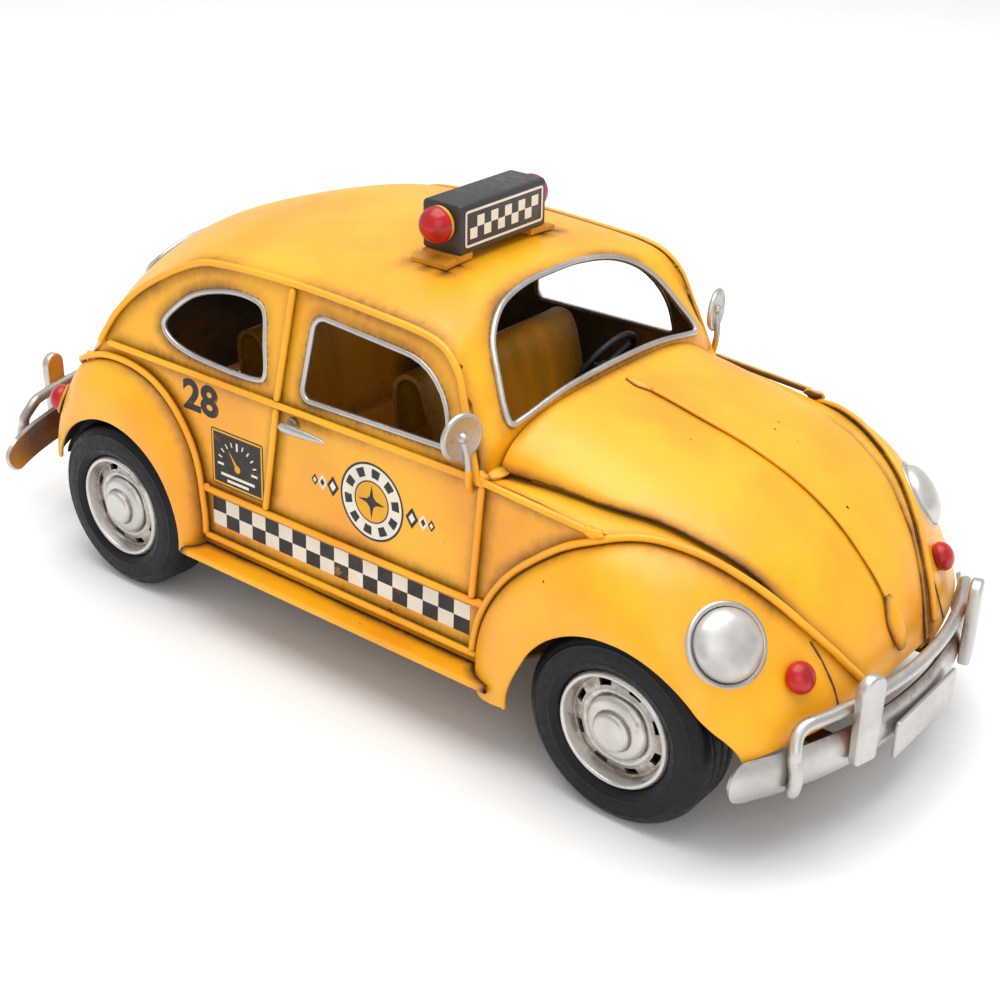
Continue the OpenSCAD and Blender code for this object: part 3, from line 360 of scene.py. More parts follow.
def round_box(x0, y0, x1, y1, low, high=None):
    """Rectangle with round corners; the upper two may have a radius of their own."""
    high = low if high is None else high
    return round_outline([(x0, y0, low), (x1, y0, low), (x1, y1, high), (x0, y1, high)])


def round_pair(half):
    """Outline with round corners from those of its upper half; the lower half mirrors them."""
    return round_outline([(x, -y, r) for x, y, r in half] + half[::-1])


def grow(outline, d):
    """An anticlockwise outline moved outward by d."""
    t = unit(np.roll(outline, -1, 0) - np.roll(outline, 1, 0))
    return outline + d * np.column_stack([t[:, 1], -t[:, 0]])


DOOR_WINDOW = round_outline([
    (FRONT_X - 90.4, BELT_Z + 2.6, 2.5), (FRONT_X - 48, BELT_Z + 3.4, 1.6),
    (FRONT_X - 50.6, BELT_Z + 19.4, 14), (FRONT_X - 88.4, BELT_Z + 21.8, 3.5)])
QUARTER_POINTS = np.array([
    [17, 5.4], [24, 3.6], [36, 2.9], [45.8, 3.2], [48.2, 5.2], [47.4, 12],
    [46.2, 19.2], [41, 21], [33, 20.4], [24, 17.6], [17.5, 13], [14, 8.6]]) + [REAR_X, BELT_Z]
QUARTER_WINDOW = loop_at(QUARTER_POINTS, np.arange(0, len(QUARTER_POINTS), 0.05))


def evenly(loop, count):
    """Points spread evenly round a closed line."""
    p = np.concatenate([loop, loop[:1]])
    s = np.concatenate([[0], np.cumsum(np.linalg.norm(np.diff(p, axis=0), axis=1))])
    at = np.linspace(0, s[-1], count, endpoint=False)
    return np.stack([np.interp(at, s, p[:, k]) for k in range(p.shape[1])], -1)


def on_side(xz, lift=0.0):
    """Points of the left side's outer face, lifted off it."""
    return np.stack([xz[..., 0], side_y(xz[..., 1]) + lift, xz[..., 1]], -1)


def beside(x0, z0, x1, z1, count=40):
    """Straight line along the left side where a bead's middle lies."""
    k = np.linspace(0, 1, count)[:, None]
    return on_side(np.array([[x0, z0]]) * (1 - k) + np.array([[x1, z1]]) * k, ON_BEAD)


# Meshes as whole arrays


class Skin:
    """Points with quads and triangles, the brown wash and painted shade on each point, and the kind of each
    face.
    """

    def __init__(self, points, quads, tris=None, wash_and_shade=0.0, kinds=0):
        self.points = np.asarray(points, float).reshape(-1, 3)
        self.quads = np.asarray(quads, int).reshape(-1, 4)
        self.tris = np.asarray([] if tris is None else tris, int).reshape(-1, 3)
        self.wash_and_shade = np.broadcast_to(np.asarray(wash_and_shade, float), len(self.points)).copy()
        self.kinds = np.broadcast_to(np.asarray(kinds, int), len(self.quads) + len(self.tris)).copy()

    def triangles(self):
        """Every face as triangles."""
        return np.concatenate([self.quads[:, [0, 1, 2]], self.quads[:, [0, 2, 3]], self.tris])

    def kinds_apart(self):
        """Kinds of the quads, and kinds of the triangles."""
        return self.kinds[: len(self.quads)], self.kinds[len(self.quads):]

    def normals(self):
        """Normals of the points: the sum of the areas round each."""
        t = self.triangles()
        a, b, c = (self.points[t[:, k]] for k in range(3))
        area = np.cross(b - a, c - a)
        out = np.zeros_like(self.points)
        for k in range(3):
            np.add.at(out, t[:, k], area)
        return unit(out)

    def moved(self, points):
        """The same faces on other points."""
        return Skin(points, self.quads, self.tris, self.wash_and_shade, self.kinds)

    def flipped(self):
        """The skin turned inside out."""
        return Skin(self.points, self.quads[:, ::-1], self.tris[:, ::-1], self.wash_and_shade, self.kinds)

    def mirrored(self):
        """The skin on the car's other side."""
        return self.moved(self.points * MIRROR).flipped()

    def on(self, side):
        """The skin of the left side, or its mirror image for the right one."""
        return self if side > 0 else self.mirrored()

    def stain(self, amount):
        """Adds brown wash and painted shade where the amount is above what a point has."""
        self.wash_and_shade = np.maximum(self.wash_and_shade, amount)

    def backed(self, way):
        """Gives the faces that look along a direction the second finish."""
        p, q, t = self.points, self.quads, self.tris
        look = unit(np.concatenate([
            np.cross(p[q[:, 2]] - p[q[:, 0]], p[q[:, 3]] - p[q[:, 1]]),
            np.cross(p[t[:, 1]] - p[t[:, 0]], p[t[:, 2]] - p[t[:, 0]])]))
        nearly = 0.7
        self.kinds = np.where(look @ way > nearly, 1, self.kinds)
        return self


def net(points, wrap_u=False, wrap_v=False, wash_and_shade=0.0, kind=0):
    """Quads over an array of points in rows and columns."""
    nu, nv = points.shape[:2]
    i, j = np.meshgrid(np.arange(nu - (not wrap_u)), np.arange(nv - (not wrap_v)), indexing="ij")
    i2, j2 = (i + 1) % nu, (j + 1) % nv
    quads = np.stack([i * nv + j, i2 * nv + j, i2 * nv + j2, i * nv + j2], -1).reshape(-1, 4)
    wash_and_shade = np.broadcast_to(wash_and_shade, (nu, nv)).ravel()
    return Skin(points, quads, None, wash_and_shade, kind)


def join(*skins):
    """One skin from several."""
    base = np.cumsum([0] + [len(s.points) for s in skins])
    quad_kinds, tri_kinds = zip(*(s.kinds_apart() for s in skins))
    return Skin(
        np.concatenate([s.points for s in skins]),
        np.concatenate([s.quads + b for s, b in zip(skins, base)]),
        np.concatenate([s.tris + b for s, b in zip(skins, base)]),
        np.concatenate([s.wash_and_shade for s in skins]),
        np.concatenate(quad_kinds + tri_kinds),
    )


def both(skin):
    """A skin of the left side with its mirror image."""
    return join(skin, skin.mirrored())


def weld(s):
    """Joins points that lie together, and turns quads that lost a side into triangles."""
    near = 1e-3
    cells = np.round(s.points / near).astype(np.int64)
    _, first, to = np.unique(cells, axis=0, return_index=True, return_inverse=True)
    to = to.ravel()
    q, t = to[s.quads], to[s.tris]
    same = q == np.roll(q, -1, 1)
    lost = same.sum(1)
    whole, one = lost == 0, lost == 1
    picks = np.array([[0, 2, 3], [0, 1, 3], [0, 1, 2], [0, 1, 2]])[same.argmax(1)[one]]
    folded = np.take_along_axis(q[one], picks, 1)
    sound = (t != np.roll(t, -1, 1)).all(1)
    quad_kinds, tri_kinds = s.kinds_apart()
    kinds = np.concatenate([quad_kinds[whole], quad_kinds[one], tri_kinds[sound]])
    return Skin(s.points[first], q[whole], np.concatenate([folded, t[sound]]), s.wash_and_shade[first], kinds)


def outward(s, inside=None):
    """Turns the faces away from an inside point, or a closed shape right side out."""
    t = s.triangles()
    a, b, c = (s.points[t[:, k]] for k in range(3))
    if inside is None:
        way = (a * np.cross(b, c)).sum()
    else:
        way = (np.cross(b - a, c - a) * (a - np.asarray(inside))).sum()
    return s if way > 0 else s.flipped()


def thicken(s, depth, inner_kind=0):
    """Wall under a sheet: the sheet moved in along its normals, joined to it round every open edge."""
    n = len(s.points)
    inner = s.points - depth * s.normals()
    edges = np.concatenate(
        [s.quads[:, [k, (k + 1) % 4]] for k in range(4)] + [s.tris[:, [k, (k + 1) % 3]] for k in range(3)])
    _, at, times = np.unique(np.sort(edges, 1), axis=0, return_index=True, return_counts=True)
    a, b = edges[at[times == 1]].T
    rim = np.stack([b, a, a + n, b + n], -1)
    quads = np.concatenate([s.quads, s.quads[:, ::-1] + n, rim])
    tris = np.concatenate([s.tris, s.tris[:, ::-1] + n])
    quad_kinds, tri_kinds = s.kinds_apart()
    kinds = np.concatenate([
        quad_kinds, np.full(len(quad_kinds), inner_kind), np.zeros(len(rim), int),
        tri_kinds, np.full(len(tri_kinds), inner_kind)])
    return Skin(np.concatenate([s.points, inner]), quads, tris, np.concatenate([s.wash_and_shade, s.wash_and_shade]), kinds)


def wobble(s, amount):
    """Slow unevenness of hand-drawn wire along its length: two sines of unlike pitch."""
    return 1 + amount * (0.6 * np.sin(0.9 * s) + 0.4 * np.sin(2.3 * s + 1.3))


def tube(path, r, side, out=None, closed=False, around=14, uneven=0.03, kind=0):
    """Round wire along a path, with round ends.

    The wash, painted shade on the side turned away from out where the wire meets its sheet, is 0.42 less 0.8
    times the cosine between a point's direction and out, or even without out.
    """
    path = np.asarray(path, float)
    s = np.concatenate([[0], np.cumsum(np.linalg.norm(np.diff(path, axis=0), axis=1))])
    radius = r * (wobble(s, uneven) if not closed else np.ones(len(path)))
    if closed:
        along = unit(np.roll(path, -1, 0) - np.roll(path, 1, 0))
    else:
        along = unit(np.gradient(path, axis=0))
        turn = np.radians([90, 60, 30])
        head = path[0] - along[0] * (r * np.sin(turn))[:, None]
        tail = path[-1] + along[-1] * (r * np.sin(turn[::-1]))[:, None]
        path = np.concatenate([head, path, tail])
        radius = np.concatenate([radius[0] * np.cos(turn), radius, radius[-1] * np.cos(turn[::-1])])
        along = np.concatenate([np.repeat(along[:1], 3, 0), along, np.repeat(along[-1:], 3, 0)])
    a = unit(np.cross(along, side))
    b = np.cross(along, a)
    k = whole_turn(around)
    away = np.cos(k)[None, :, None] * a[:, None] + np.sin(k)[None, :, None] * b[:, None]
    points = path[:, None] + radius[:, None, None] * away
    # Painted shade on the side turned away from out: brown on painted wire, patina on silver wire
    wash_and_shade = 0.25 if out is None else np.clip(0.42 - 0.8 * (away * np.asarray(out)).sum(-1), 0, 1)
    return outward(weld(net(points, closed, True, wash_and_shade, kind)))


def axes(d):
    """Two directions square to d and to each other."""
    d = unit(np.asarray(d, float))
    a = unit(np.cross(UP if abs(d[2]) < 0.9 else AHEAD, d))
    return a, np.cross(d, a), d


def lathe(profile, at, d, steps, loop=False, wash_and_shade=0.0, kind=0):
    """Profile of radius and height turned about the direction d through a point."""
    p = np.asarray(profile, float)
    a, b, d = axes(d)
    ring = rays(whole_turn(steps), a, b)[:, None]
    points = np.asarray(at) + p[None, :, :1] * ring + p[None, :, 1:] * d
    wash_and_shade = np.broadcast_to(np.asarray(wash_and_shade, float), len(p))[None, :]
    return outward(weld(net(points, True, loop, wash_and_shade, kind)))


def capped(rows):
    """Rows of a closed section, with each end drawn together to its middle."""
    ends = [np.repeat(rows[k].mean(0)[None], rows.shape[1], 0)[None] for k in (0, -1)]
    return np.concatenate([ends[0], rows, ends[1]])


def sealed(rings, wash_and_shade=0.0):
    """Closed shape over rings of points, right side out."""
    return outward(weld(net(rings, False, True, wash_and_shade)))


def pad(outline, thick, edge, at, e1, e2, wash_and_shade=0.1):
    """Plate over a star-shaped outline with rounded edges, standing on the plane of e1 and e2."""
    n = np.cross(e1, e2)
    turn = quarter(4)
    inset = np.concatenate([edge * (1 - np.sin(turn)), edge * (1 - np.cos(turn))])
    high = np.concatenate([edge * (1 - np.cos(turn)), thick - edge * (1 - np.sin(turn))])
    rows = np.stack([grow(outline, -d) for d in inset])
    centre = np.repeat(outline.mean(0)[None], len(outline), 0)
    rows = np.concatenate([centre[None], rows, centre[None]])
    high = np.concatenate([[0], high, [thick]])[:, None, None]
    points = np.asarray(at) + rows[..., :1] * e1 + rows[..., 1:] * e2 + high * n
    return sealed(points, wash_and_shade)


def dome(outline, high, at, e1, e2):
    """Pillow over an outline: the outline shrinks by cos while it rises by sin."""
    n = np.cross(e1, e2)
    turn = quarter(10)[:, None, None]
    centre = outline.mean(0)
    rows = centre + (outline - centre) * np.cos(turn)
    rows = np.concatenate([np.repeat(centre[None, None], len(outline), 1), rows])
    up = np.concatenate([np.zeros((1, 1, 1)), high * np.sin(turn)])
    points = np.asarray(at) + rows[..., :1] * e1 + rows[..., 1:] * e2 + up * n
    # Painted shade with brown wash round the pillow's foot, strongest at its edge
    wash_and_shade = np.concatenate([[1.0], np.cos(turn.ravel()) ** 4 * 0.9])[:, None]
    return sealed(points, wash_and_shade)


def ring_cell(outer, hole, centre, scale, rings):
    """Flat ring between an outline and a hole, star-shaped round the centre, on straight spokes."""
    d, h = (outer - centre) / scale, (hole - centre) / scale
    angle, turn = np.arctan2(d[:, 1], d[:, 0]), np.arctan2(h[:, 1], h[:, 0])
    order = np.argsort(turn)
    r = np.interp(angle, turn[order], np.hypot(*h.T)[order], period=2 * np.pi)
    inner = np.asarray(centre) + np.asarray(scale) * np.column_stack([r * np.cos(angle), r * np.sin(angle)])
    s = np.linspace(0, 1, rings)[:, None, None]
    return inner * (1 - s) + outer * s


def box_outline(a, b):
    """Outline round a rectangle of parameters through the samples of its two sides."""
    lo, hi = np.full(len(a) - 1, b[0]), np.full(len(a) - 1, b[-1])
    left, right = np.full(len(b) - 1, a[0]), np.full(len(b) - 1, a[-1])
    return np.concatenate([
        np.column_stack([a[:-1], lo]), np.column_stack([right, b[:-1]]),
        np.column_stack([a[:0:-1], hi]), np.column_stack([left, b[:0:-1]])])


def patch(surface, t, q):
    """Net over a surface through samples of its two parameters."""
    return net(surface(*np.meshgrid(t, q, indexing="ij")))


def pierced(surface, t, q, hole, centre, scale, rings):
    """Net over a surface between a rectangle of its parameters and a hole in it."""
    flat = ring_cell(box_outline(t, q), hole, centre, scale, rings)
    return net(surface(flat[..., 0], flat[..., 1]), False, True)


def nearness(points, lines, reach):
    """1 on the lines, falling to 0 at the reach; the points are taken in blocks."""
    far, block = np.empty(len(points)), 4096
    size = (lines**2).sum(1)
    for k in range(0, len(points), block):
        p = points[k:k + block]
        far[k:k + block] = ((p**2).sum(1)[:, None] + size - 2 * p @ lines.T).min(1)
    return np.clip(1 - np.sqrt(far.clip(0)) / reach, 0, 1)


def surface_normal(surface, t, q, inside):
    """Normal of a surface from small steps along its two parameters, away from an inside point."""
    dt, dq = 0.02, 0.01
    du = surface(t + dt, q) - surface(t - dt, q)
    dv = surface(t, q + dq) - surface(t, q - dq)
    n = unit(np.cross(du, dv))
    way = np.sign((n * (surface(t, q) - np.asarray(inside))).sum(-1, keepdims=True))
    return n * np.where(way == 0, 1, way)


# A point in the body, from which its sheets face outward
CABIN = (0, 0, 45)


def frame_path(loop, lift, steps=12):
    """Wire line round a screen opening, lifted off the roof sheet, and the sheet's normals there."""
    p = loop_at(loop, np.arange(0, len(loop), 1 / steps))
    out = surface_normal(roof, p[:, 0], p[:, 1], CABIN)
    return roof(p[:, 0], p[:, 1]) + lift * out, out


# Bead lines on the left side


def side_lines():
    """Belt, cowl, front and rear edge of the door, its post, and both lines of the sill stripe."""
    post, latch, bead = FRONT_X - 37.6, FRONT_X - 97, 2 * BEAD_R
    return [
        beside(REAR_X - 3, BELT_Z, FRONT_X - 38.6, BELT_Z, 90),
        beside(post + 0.6, BELT_Z, FRONT_X - 12, BELT_Z - 1.8),
        beside(post, BELT_Z - bead, post - 1.6, STRIPE_Z + bead),
        beside(latch + 0.4, BELT_Z - bead, latch - 3.6, STRIPE_Z + bead),
        beside(latch + 0.6, BELT_Z + bead, latch + 2.6, GUTTER_Z - BEAD_R),
        beside(REAR_X + 29.6, STRIPE_Z, post - 0.6, STRIPE_Z, 70),
        beside(REAR_X + 29.4, SILL_Z + 2.8, post - 0.4, SILL_Z + 2.8, 70),
    ]


def roof_line():
    """Seam of the roof, from the screen pillar's foot to the tail."""
    t = np.linspace(0.95, 12, 150)
    return on_side(curve_at(SEAM_XZ, t), ON_BEAD)


def wing_line(surface, start, end, full_from, full_to):
    """Welt along a wing's seam; it stands out fully where the wing meets the side."""
    a = np.linspace(start, end, 130)
    share = np.clip((a - full_from) / (full_to - full_from), 0, 1)
    turn = np.radians(a)
    off = [ON_BEAD * np.cos(turn), BEAD_R * (0.35 + 0.65 * share), ON_BEAD * np.sin(turn)]
    return surface(a, 0) + np.stack(off, -1)


def seam_lines():
    """Every soldered line of the body, both sides, where the brown wash and the painted shade gather."""
    left = np.concatenate([
        *(line[::2] for line in side_lines()), roof_line()[::2],
        wing_line(front_wing, 10, 180, 88, 110)[::2], wing_line(rear_wing, 0, 168, 124, 106)[::2],
        on_side(evenly(DOOR_WINDOW, 70)), on_side(evenly(QUARTER_WINDOW, 50)),
    ])
    screens = [frame_path(loop, 0, 6)[0] for loop in (SCREEN, BACK)]
    return np.concatenate([left, left * MIRROR, *screens])


SEAM_LINES = seam_lines()


def washed_and_shaded(s, reach=6.5, lines=SEAM_LINES):
    """Skin with brown wash and painted shade that fall off with the power 1.5 of the distance from the soldered
    lines.
    """
    s.stain(nearness(s.points, lines, reach) ** 1.5)
    return s


# Finishes


def shade(rgb, k):
    """Colour times a factor."""
    return [k * x for x in rgb]


class Finish:
    """Node tree of one finish; colours vary over the object's own coordinates."""

    def __init__(self, name, **shader):
        self.material = bpy.data.materials.new(name)
        self.material.use_nodes = True
        self.tree = self.material.node_tree
        self.shader = self.tree.nodes["Principled BSDF"]
        self.place = self.tree.nodes.new("ShaderNodeTexCoord").outputs["Object"]
        self.show(**shader)

    def feed(self, socket, value):
        """Links a socket to another one, or sets its value."""
        if isinstance(value, bpy.types.NodeSocket):
            self.tree.links.new(value, socket)
        elif socket.type == "RGBA":
            socket.default_value = (*value[:3], 1)
        else:
            socket.default_value = value

    def node(self, kind, inputs, **settings):
        """New node with its settings and inputs."""
        made = self.tree.nodes.new(kind)
        for key, value in settings.items():
            setattr(made, key, value)
        for key, value in inputs.items():
            self.feed(made.inputs[key], value)
        return made

    def noise(self, scale, detail=3.0, rough=0.5, place=None):
        """Smooth noise."""
        inputs = {"Vector": place or self.place, "Scale": scale, "Detail": detail, "Roughness": rough}
        return self.node("ShaderNodeTexNoise", inputs).outputs[0]

    def stretched(self, x, y, z):
        """Object coordinates scaled on each axis."""
        inputs = {"Vector": self.place, "Scale": (x, y, z)}
        return self.node("ShaderNodeMapping", inputs).outputs[0]

    def spots(self, scale):
        """Distance from scattered points."""
        inputs = {"Vector": self.place, "Scale": scale}
        return self.node("ShaderNodeTexVoronoi", inputs).outputs["Distance"]

    def span(self, value, low, high, to_low=0.0, to_high=1.0):
        """Smooth step of a value from one range to another."""
        inputs = {"Value": value, "From Min": low, "From Max": high, "To Min": to_low, "To Max": to_high}
        return self.node("ShaderNodeMapRange", inputs, interpolation_type="SMOOTHSTEP").outputs[0]

    def sum(self, a, b):
        """Sum of two values, at most 1."""
        return self.node("ShaderNodeMath", {0: a, 1: b}, operation="ADD", use_clamp=True).outputs[0]

    def times(self, a, b):
        """Product of two values."""
        return self.node("ShaderNodeMath", {0: a, 1: b}, operation="MULTIPLY").outputs[0]

    def ragged(self, fine, share):
        """The points' wash, brown wash with painted shade, with its edge broken up by a noise; half the share
        is added on the whole.
        """
        inputs = {0: fine, 1: share, 2: self.attribute("wash_and_shade")}
        return self.node("ShaderNodeMath", inputs, operation="MULTIPLY_ADD").outputs[0]

    def mix(self, share, a, b):
        """Colour between a, share 0, and b, share 1."""
        return self.node("ShaderNodeMix", {0: share, 6: a, 7: b}, data_type="RGBA").outputs[2]

    def attribute(self, name):
        """Value stored on the mesh's points."""
        return self.node("ShaderNodeAttribute", {}, attribute_name=name).outputs["Fac"]

    def bump(self, height, strength, distance, normal=None):
        """Normal that follows a height, on top of another normal if there is one."""
        inputs = {"Height": height, "Strength": strength, "Distance": distance}
        if normal:
            inputs["Normal"] = normal
        return self.node("ShaderNodeBump", inputs).outputs[0]

    def show(self, **sockets):
        """Feeds the shader's sockets."""
        for socket, value in sockets.items():
            self.feed(self.shader.inputs[socket.replace("_", " ")], value)
        return self.material

    def grained(self, base, grain, rough, bump, low=0.25):
        """Feeds a colour, and the roughness and the bump that follow a grain."""
        dull = self.span(grain, low, 0.8, *rough)
        return self.show(Base_Color=base, Roughness=dull, Normal=self.bump(grain, *bump))


def paint(c):
    """Satin yellow over tin: uneven coat, brown wash with painted shade in the seams, specks, chips and small
    dents.
    """
    f = Finish("satin_yellow_paint", Specular_IOR_Level=0.5, Coat_Weight=0.2, Coat_Roughness=0.42)
    fine = f.noise(430, 5, 0.6)
    coat = f.mix(f.span(f.noise(38, 3), 0.35, 0.72), c.paint, c.paint_deep)
    streak = f.span(f.noise(90, 4, 0.6, f.stretched(1, 1, 0.35)), 0.56, 0.8, 0, 0.4)
    coat = f.mix(streak, coat, c.paint_deep)
    # Brown from the points' wash: a broad soft stain round the seams that is partly painted shade, and hard
    # dark lines in the joints
    brown = f.ragged(fine, 0.32)
    soft = f.times(f.span(brown, 0.28, 1.05, 0, 0.78), f.span(f.noise(34, 3), 0.36, 0.62, 0.35, 1))
    hard = f.span(brown, 0.86, 1.1, 0, 0.9)
    torn = f.span(f.sum(f.spots(190), f.times(fine, 0.1)), 0.09, 0.13, 1, 0)
    specks = f.times(torn, f.span(f.noise(48, 2), 0.55, 0.62))
    blots = f.times(f.span(f.noise(150, 4, 0.65), 0.68, 0.76), f.span(f.noise(26, 2), 0.5, 0.6, 0, 0.5))
    coat = f.mix(f.sum(soft, blots), coat, c.wash_and_shade)
    coat = f.mix(f.sum(hard, specks), coat, shade(c.wash_and_shade, 0.45))
    dents = f.bump(f.noise(55, 2), 0.22, 0.0012)
    grain = f.bump(fine, 0.12, 0.00025, dents)
    dull = f.span(f.sum(fine, soft), 0.3, 1.2, 0.33, 0.62)
    return f.show(Base_Color=coat, Roughness=dull, Normal=grain)


def silver(c, name, tone, brown, rough):
    """Dull silver: cloudy brightness, brown patina in the hollows, fine scratches."""
    f = Finish(name, Metallic=0.82, Specular_IOR_Level=0.5)
    fine = f.noise(520, 5, 0.65)
    cloud = f.noise(70, 3)
    bright = [min(1, x) for x in shade(c.silver, tone)]
    base = f.mix(f.span(cloud, 0.3, 0.75), bright, shade(bright, 0.74))
    worn = f.ragged(fine, 0.9)
    base = f.mix(f.span(worn, 0.85, 1.5, 0, 0.75), base, c.patina)
    stain = f.times(f.span(f.noise(160, 4, 0.6), 0.56, 0.7), f.span(f.noise(45, 2), 0.5, 0.62, 0, brown))
    base = f.mix(stain, base, c.patina)
    bump = f.bump(fine, 0.16, 0.0003, f.bump(f.noise(110, 2), 0.2, 0.0008))
    dull = f.span(fine, 0.2, 0.85, rough - 0.06, rough + 0.22)
    return f.show(Base_Color=base, Roughness=dull, Normal=bump)


def bowl(c):
    """Brushed silver of the headlight domes."""
    f = Finish("headlight_silver", Metallic=0.7, Specular_IOR_Level=0.6)
    fine = f.noise(330, 4, 0.6)
    base = f.mix(f.span(f.noise(120, 3), 0.35, 0.7), shade(c.silver, 1.12), shade(c.silver, 0.82))
    return f.grained(base, fine, (0.34, 0.5), (0.06, 0.0003))


def red(c):
    """Thick glossy red enamel."""
    f = Finish("red_enamel", Specular_IOR_Level=0.4, Coat_Weight=0.25, Coat_Roughness=0.1)
    run = f.noise(240, 3)
    base = f.mix(f.span(run, 0.35, 0.75), c.red, shade(c.red, 0.55))
    # Brown from the points' wash: painted shade at the lamp's foot
    base = f.mix(f.span(f.attribute("wash_and_shade"), 0.5, 1.1, 0, 0.8), base, c.wash_and_shade)
    return f.grained(base, run, (0.26, 0.42), (0.3, 0.0007), 0.3)


def rubber(c):
    """Black rubber with grey scuffs, a fine grain and painted shade in the grooves."""
    f = Finish("tyre_rubber", Specular_IOR_Level=0.26)
    fine = f.noise(620, 4, 0.6)
    scuff = f.times(f.span(f.noise(120, 5, 0.7), 0.54, 0.74), 0.5)
    base = f.mix(scuff, c.rubber, shade(c.rubber, 3.2))
    # Painted shade: the rubber darkened to 0.3 of itself in the tread grooves
    base = f.mix(f.span(f.attribute("wash_and_shade"), 0.3, 1.0, 0, 0.7), base, shade(c.rubber, 0.3))
    return f.grained(base, fine, (0.34, 0.6), (0.2, 0.0003))


def enamel(c, name, tone, worn, share, rough, brown=0.0):
    """Flat enamel, rubbed through in small patches to what lies under it, browned as painted shade where its
    points' wash is high.
    """
    f = Finish(name, Specular_IOR_Level=0.45)
    fine = f.noise(500, 4, 0.6)
    rub = f.times(f.span(f.noise(210, 5, 0.7), 0.57, 0.68), f.span(f.noise(60, 2), 0.42, 0.62, 0, share))
    base = f.mix(f.span(f.noise(90, 3), 0.3, 0.75, 0, 0.35), tone, shade(tone, 0.62))
    base = f.mix(rub, base, worn)
    if brown:
        base = f.mix(f.span(f.attribute("wash_and_shade"), 0.05, 0.8, 0, brown), base, c.wash_and_shade)
    return f.grained(base, fine, (rough - 0.08, rough + 0.16), (0.12, 0.0003))


def dark_tin_and_shade(c):
    """Bare dark tin inside the body, kept dark as painted shade of the closed body, with drifts of yellow
    overspray.
    """
    f = Finish("dark_tin_and_shade", Specular_IOR_Level=0.35)
    fine = f.noise(380, 4, 0.6)
    drift = f.span(f.noise(26, 3), 0.46, 0.74, 0, 0.5)
    base = f.mix(drift, c.inside, shade(c.paint_deep, 0.45))
    base = f.mix(f.span(f.noise(140, 4, 0.6), 0.5, 0.75, 0, 0.6), base, shade(c.inside, 0.3))
    return f.grained(base, fine, (0.5, 0.75), (0.2, 0.0004), 0.2)


def seat_paint(c):
    """Ochre paint on the folded seats, with brown wash and painted shade along the folds and at the sides."""
    f = Finish("seat_ochre", Specular_IOR_Level=0.4)
    fine = f.noise(400, 4, 0.6)
    olive = [k * x for k, x in zip((0.5, 0.6, 0.8), c.seat)]
    base = f.mix(f.span(f.noise(34, 3, 0.5, f.stretched(1, 1.6, 0.4)), 0.38, 0.64), c.seat, olive)
    # worn: brown wash and painted shade in the fold and at the sides
    worn = f.ragged(fine, 0.5)
    base = f.mix(f.span(worn, 0.55, 1.25, 0, 0.8), base, c.wash_and_shade)
    return f.grained(base, fine, (0.38, 0.6), (0.15, 0.0004))


def finish(name):
    """Finish of that name, made once."""
    made = bpy.data.materials.get(name)
    if made:
        return made
    c = bpy.context.scene.taxi_colours
    single = {
        "satin_yellow_paint": paint, "headlight_silver": bowl, "red_enamel": red, "tyre_rubber": rubber,
        "dark_tin_and_shade": dark_tin_and_shade, "seat_ochre": seat_paint,
    }
    # Brightness, share of brown patina, roughness
    silvers = {
        "tin_silver": (1.0, 0.3, 0.3), "aged_silver": (0.86, 0.75, 0.36), "wheel_silver": (1.12, 0.55, 0.28),
    }
    # Colour, what lies under it, share rubbed through, roughness, share of brown wash and painted shade
    enamels = {
        # Four times the black: a dark grey that also holds a painted sheen of the sky
        "sign_black_and_sheen": (shade(c.black, 4), shade(c.black, 8), 0.5, 0.34),
        "wheel_black": (c.black, c.inside, 0.5, 0.5),
        # Near black in place of the shade under the wings and in the wheel houses: painted shade
        "painted_well_shade": (shade(c.inside, 0.25), c.inside, 0.6, 0.62),
        "back_ochre": (shade(c.seat, 0.6), c.inside, 0.6, 0.5, 0.88),
        "print_black": (c.black, c.paint_deep, 0.55, 0.42),
        "print_cream": (c.cream, c.paint_deep, 0.5, 0.42),
        "print_yellow": (shade(c.paint, 0.9), c.wash_and_shade, 0.4, 0.42),
    }
    if name in single:
        return single[name](c)
    if name in silvers:
        return silver(c, name, *silvers[name])
    return enamel(c, name, *enamels[name])


def linked(name, data):
    """New object of the scene."""
    made = bpy.data.objects.new(name, data)
    bpy.context.scene.collection.objects.link(made)
    return made


def put(name, skin, finishes, stands_for=(), body="body"):
    """Makes a skin an object of the scene that rides on a body and stands for frame nodes."""
    crease = math.radians(34)
    mesh = bpy.data.meshes.new(name)
    corners = np.concatenate([skin.quads.ravel(), skin.tris.ravel()])
    total = np.concatenate([np.full(len(skin.quads), 4), np.full(len(skin.tris), 3)])
    mesh.vertices.add(len(skin.points))
    mesh.loops.add(len(corners))
    mesh.polygons.add(len(total))
    mesh.vertices.foreach_set("co", (skin.points * MM).astype(np.float32).ravel())
    mesh.loops.foreach_set("vertex_index", corners.astype(np.int32))
    mesh.polygons.foreach_set("loop_start", (np.cumsum(total) - total).astype(np.int32))
    mesh.polygons.foreach_set("material_index", skin.kinds.astype(np.int32))
    mesh.update(calc_edges=True)
    mesh.attributes.new("wash_and_shade", "FLOAT", "POINT").data.foreach_set("value", skin.wash_and_shade.astype(np.float32))
    mesh.polygons.foreach_set("use_smooth", np.ones(len(total), bool))
    mesh.set_sharp_from_angle(angle=crease)
    for key in finishes:
        mesh.materials.append(finish(key))
    piece = linked(name, mesh)
    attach(piece, body)
    if stands_for:
        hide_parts(*stands_for)


def put_pair(name, skin, finishes, node=None):
    """Puts a skin of the left side and its mirror image; each stands for its side's frame node."""
    for side, hand in SIDES:
        put(f"{name}_{hand}", skin.on(side), finishes, [f"{node}_{hand}"] if node else ())


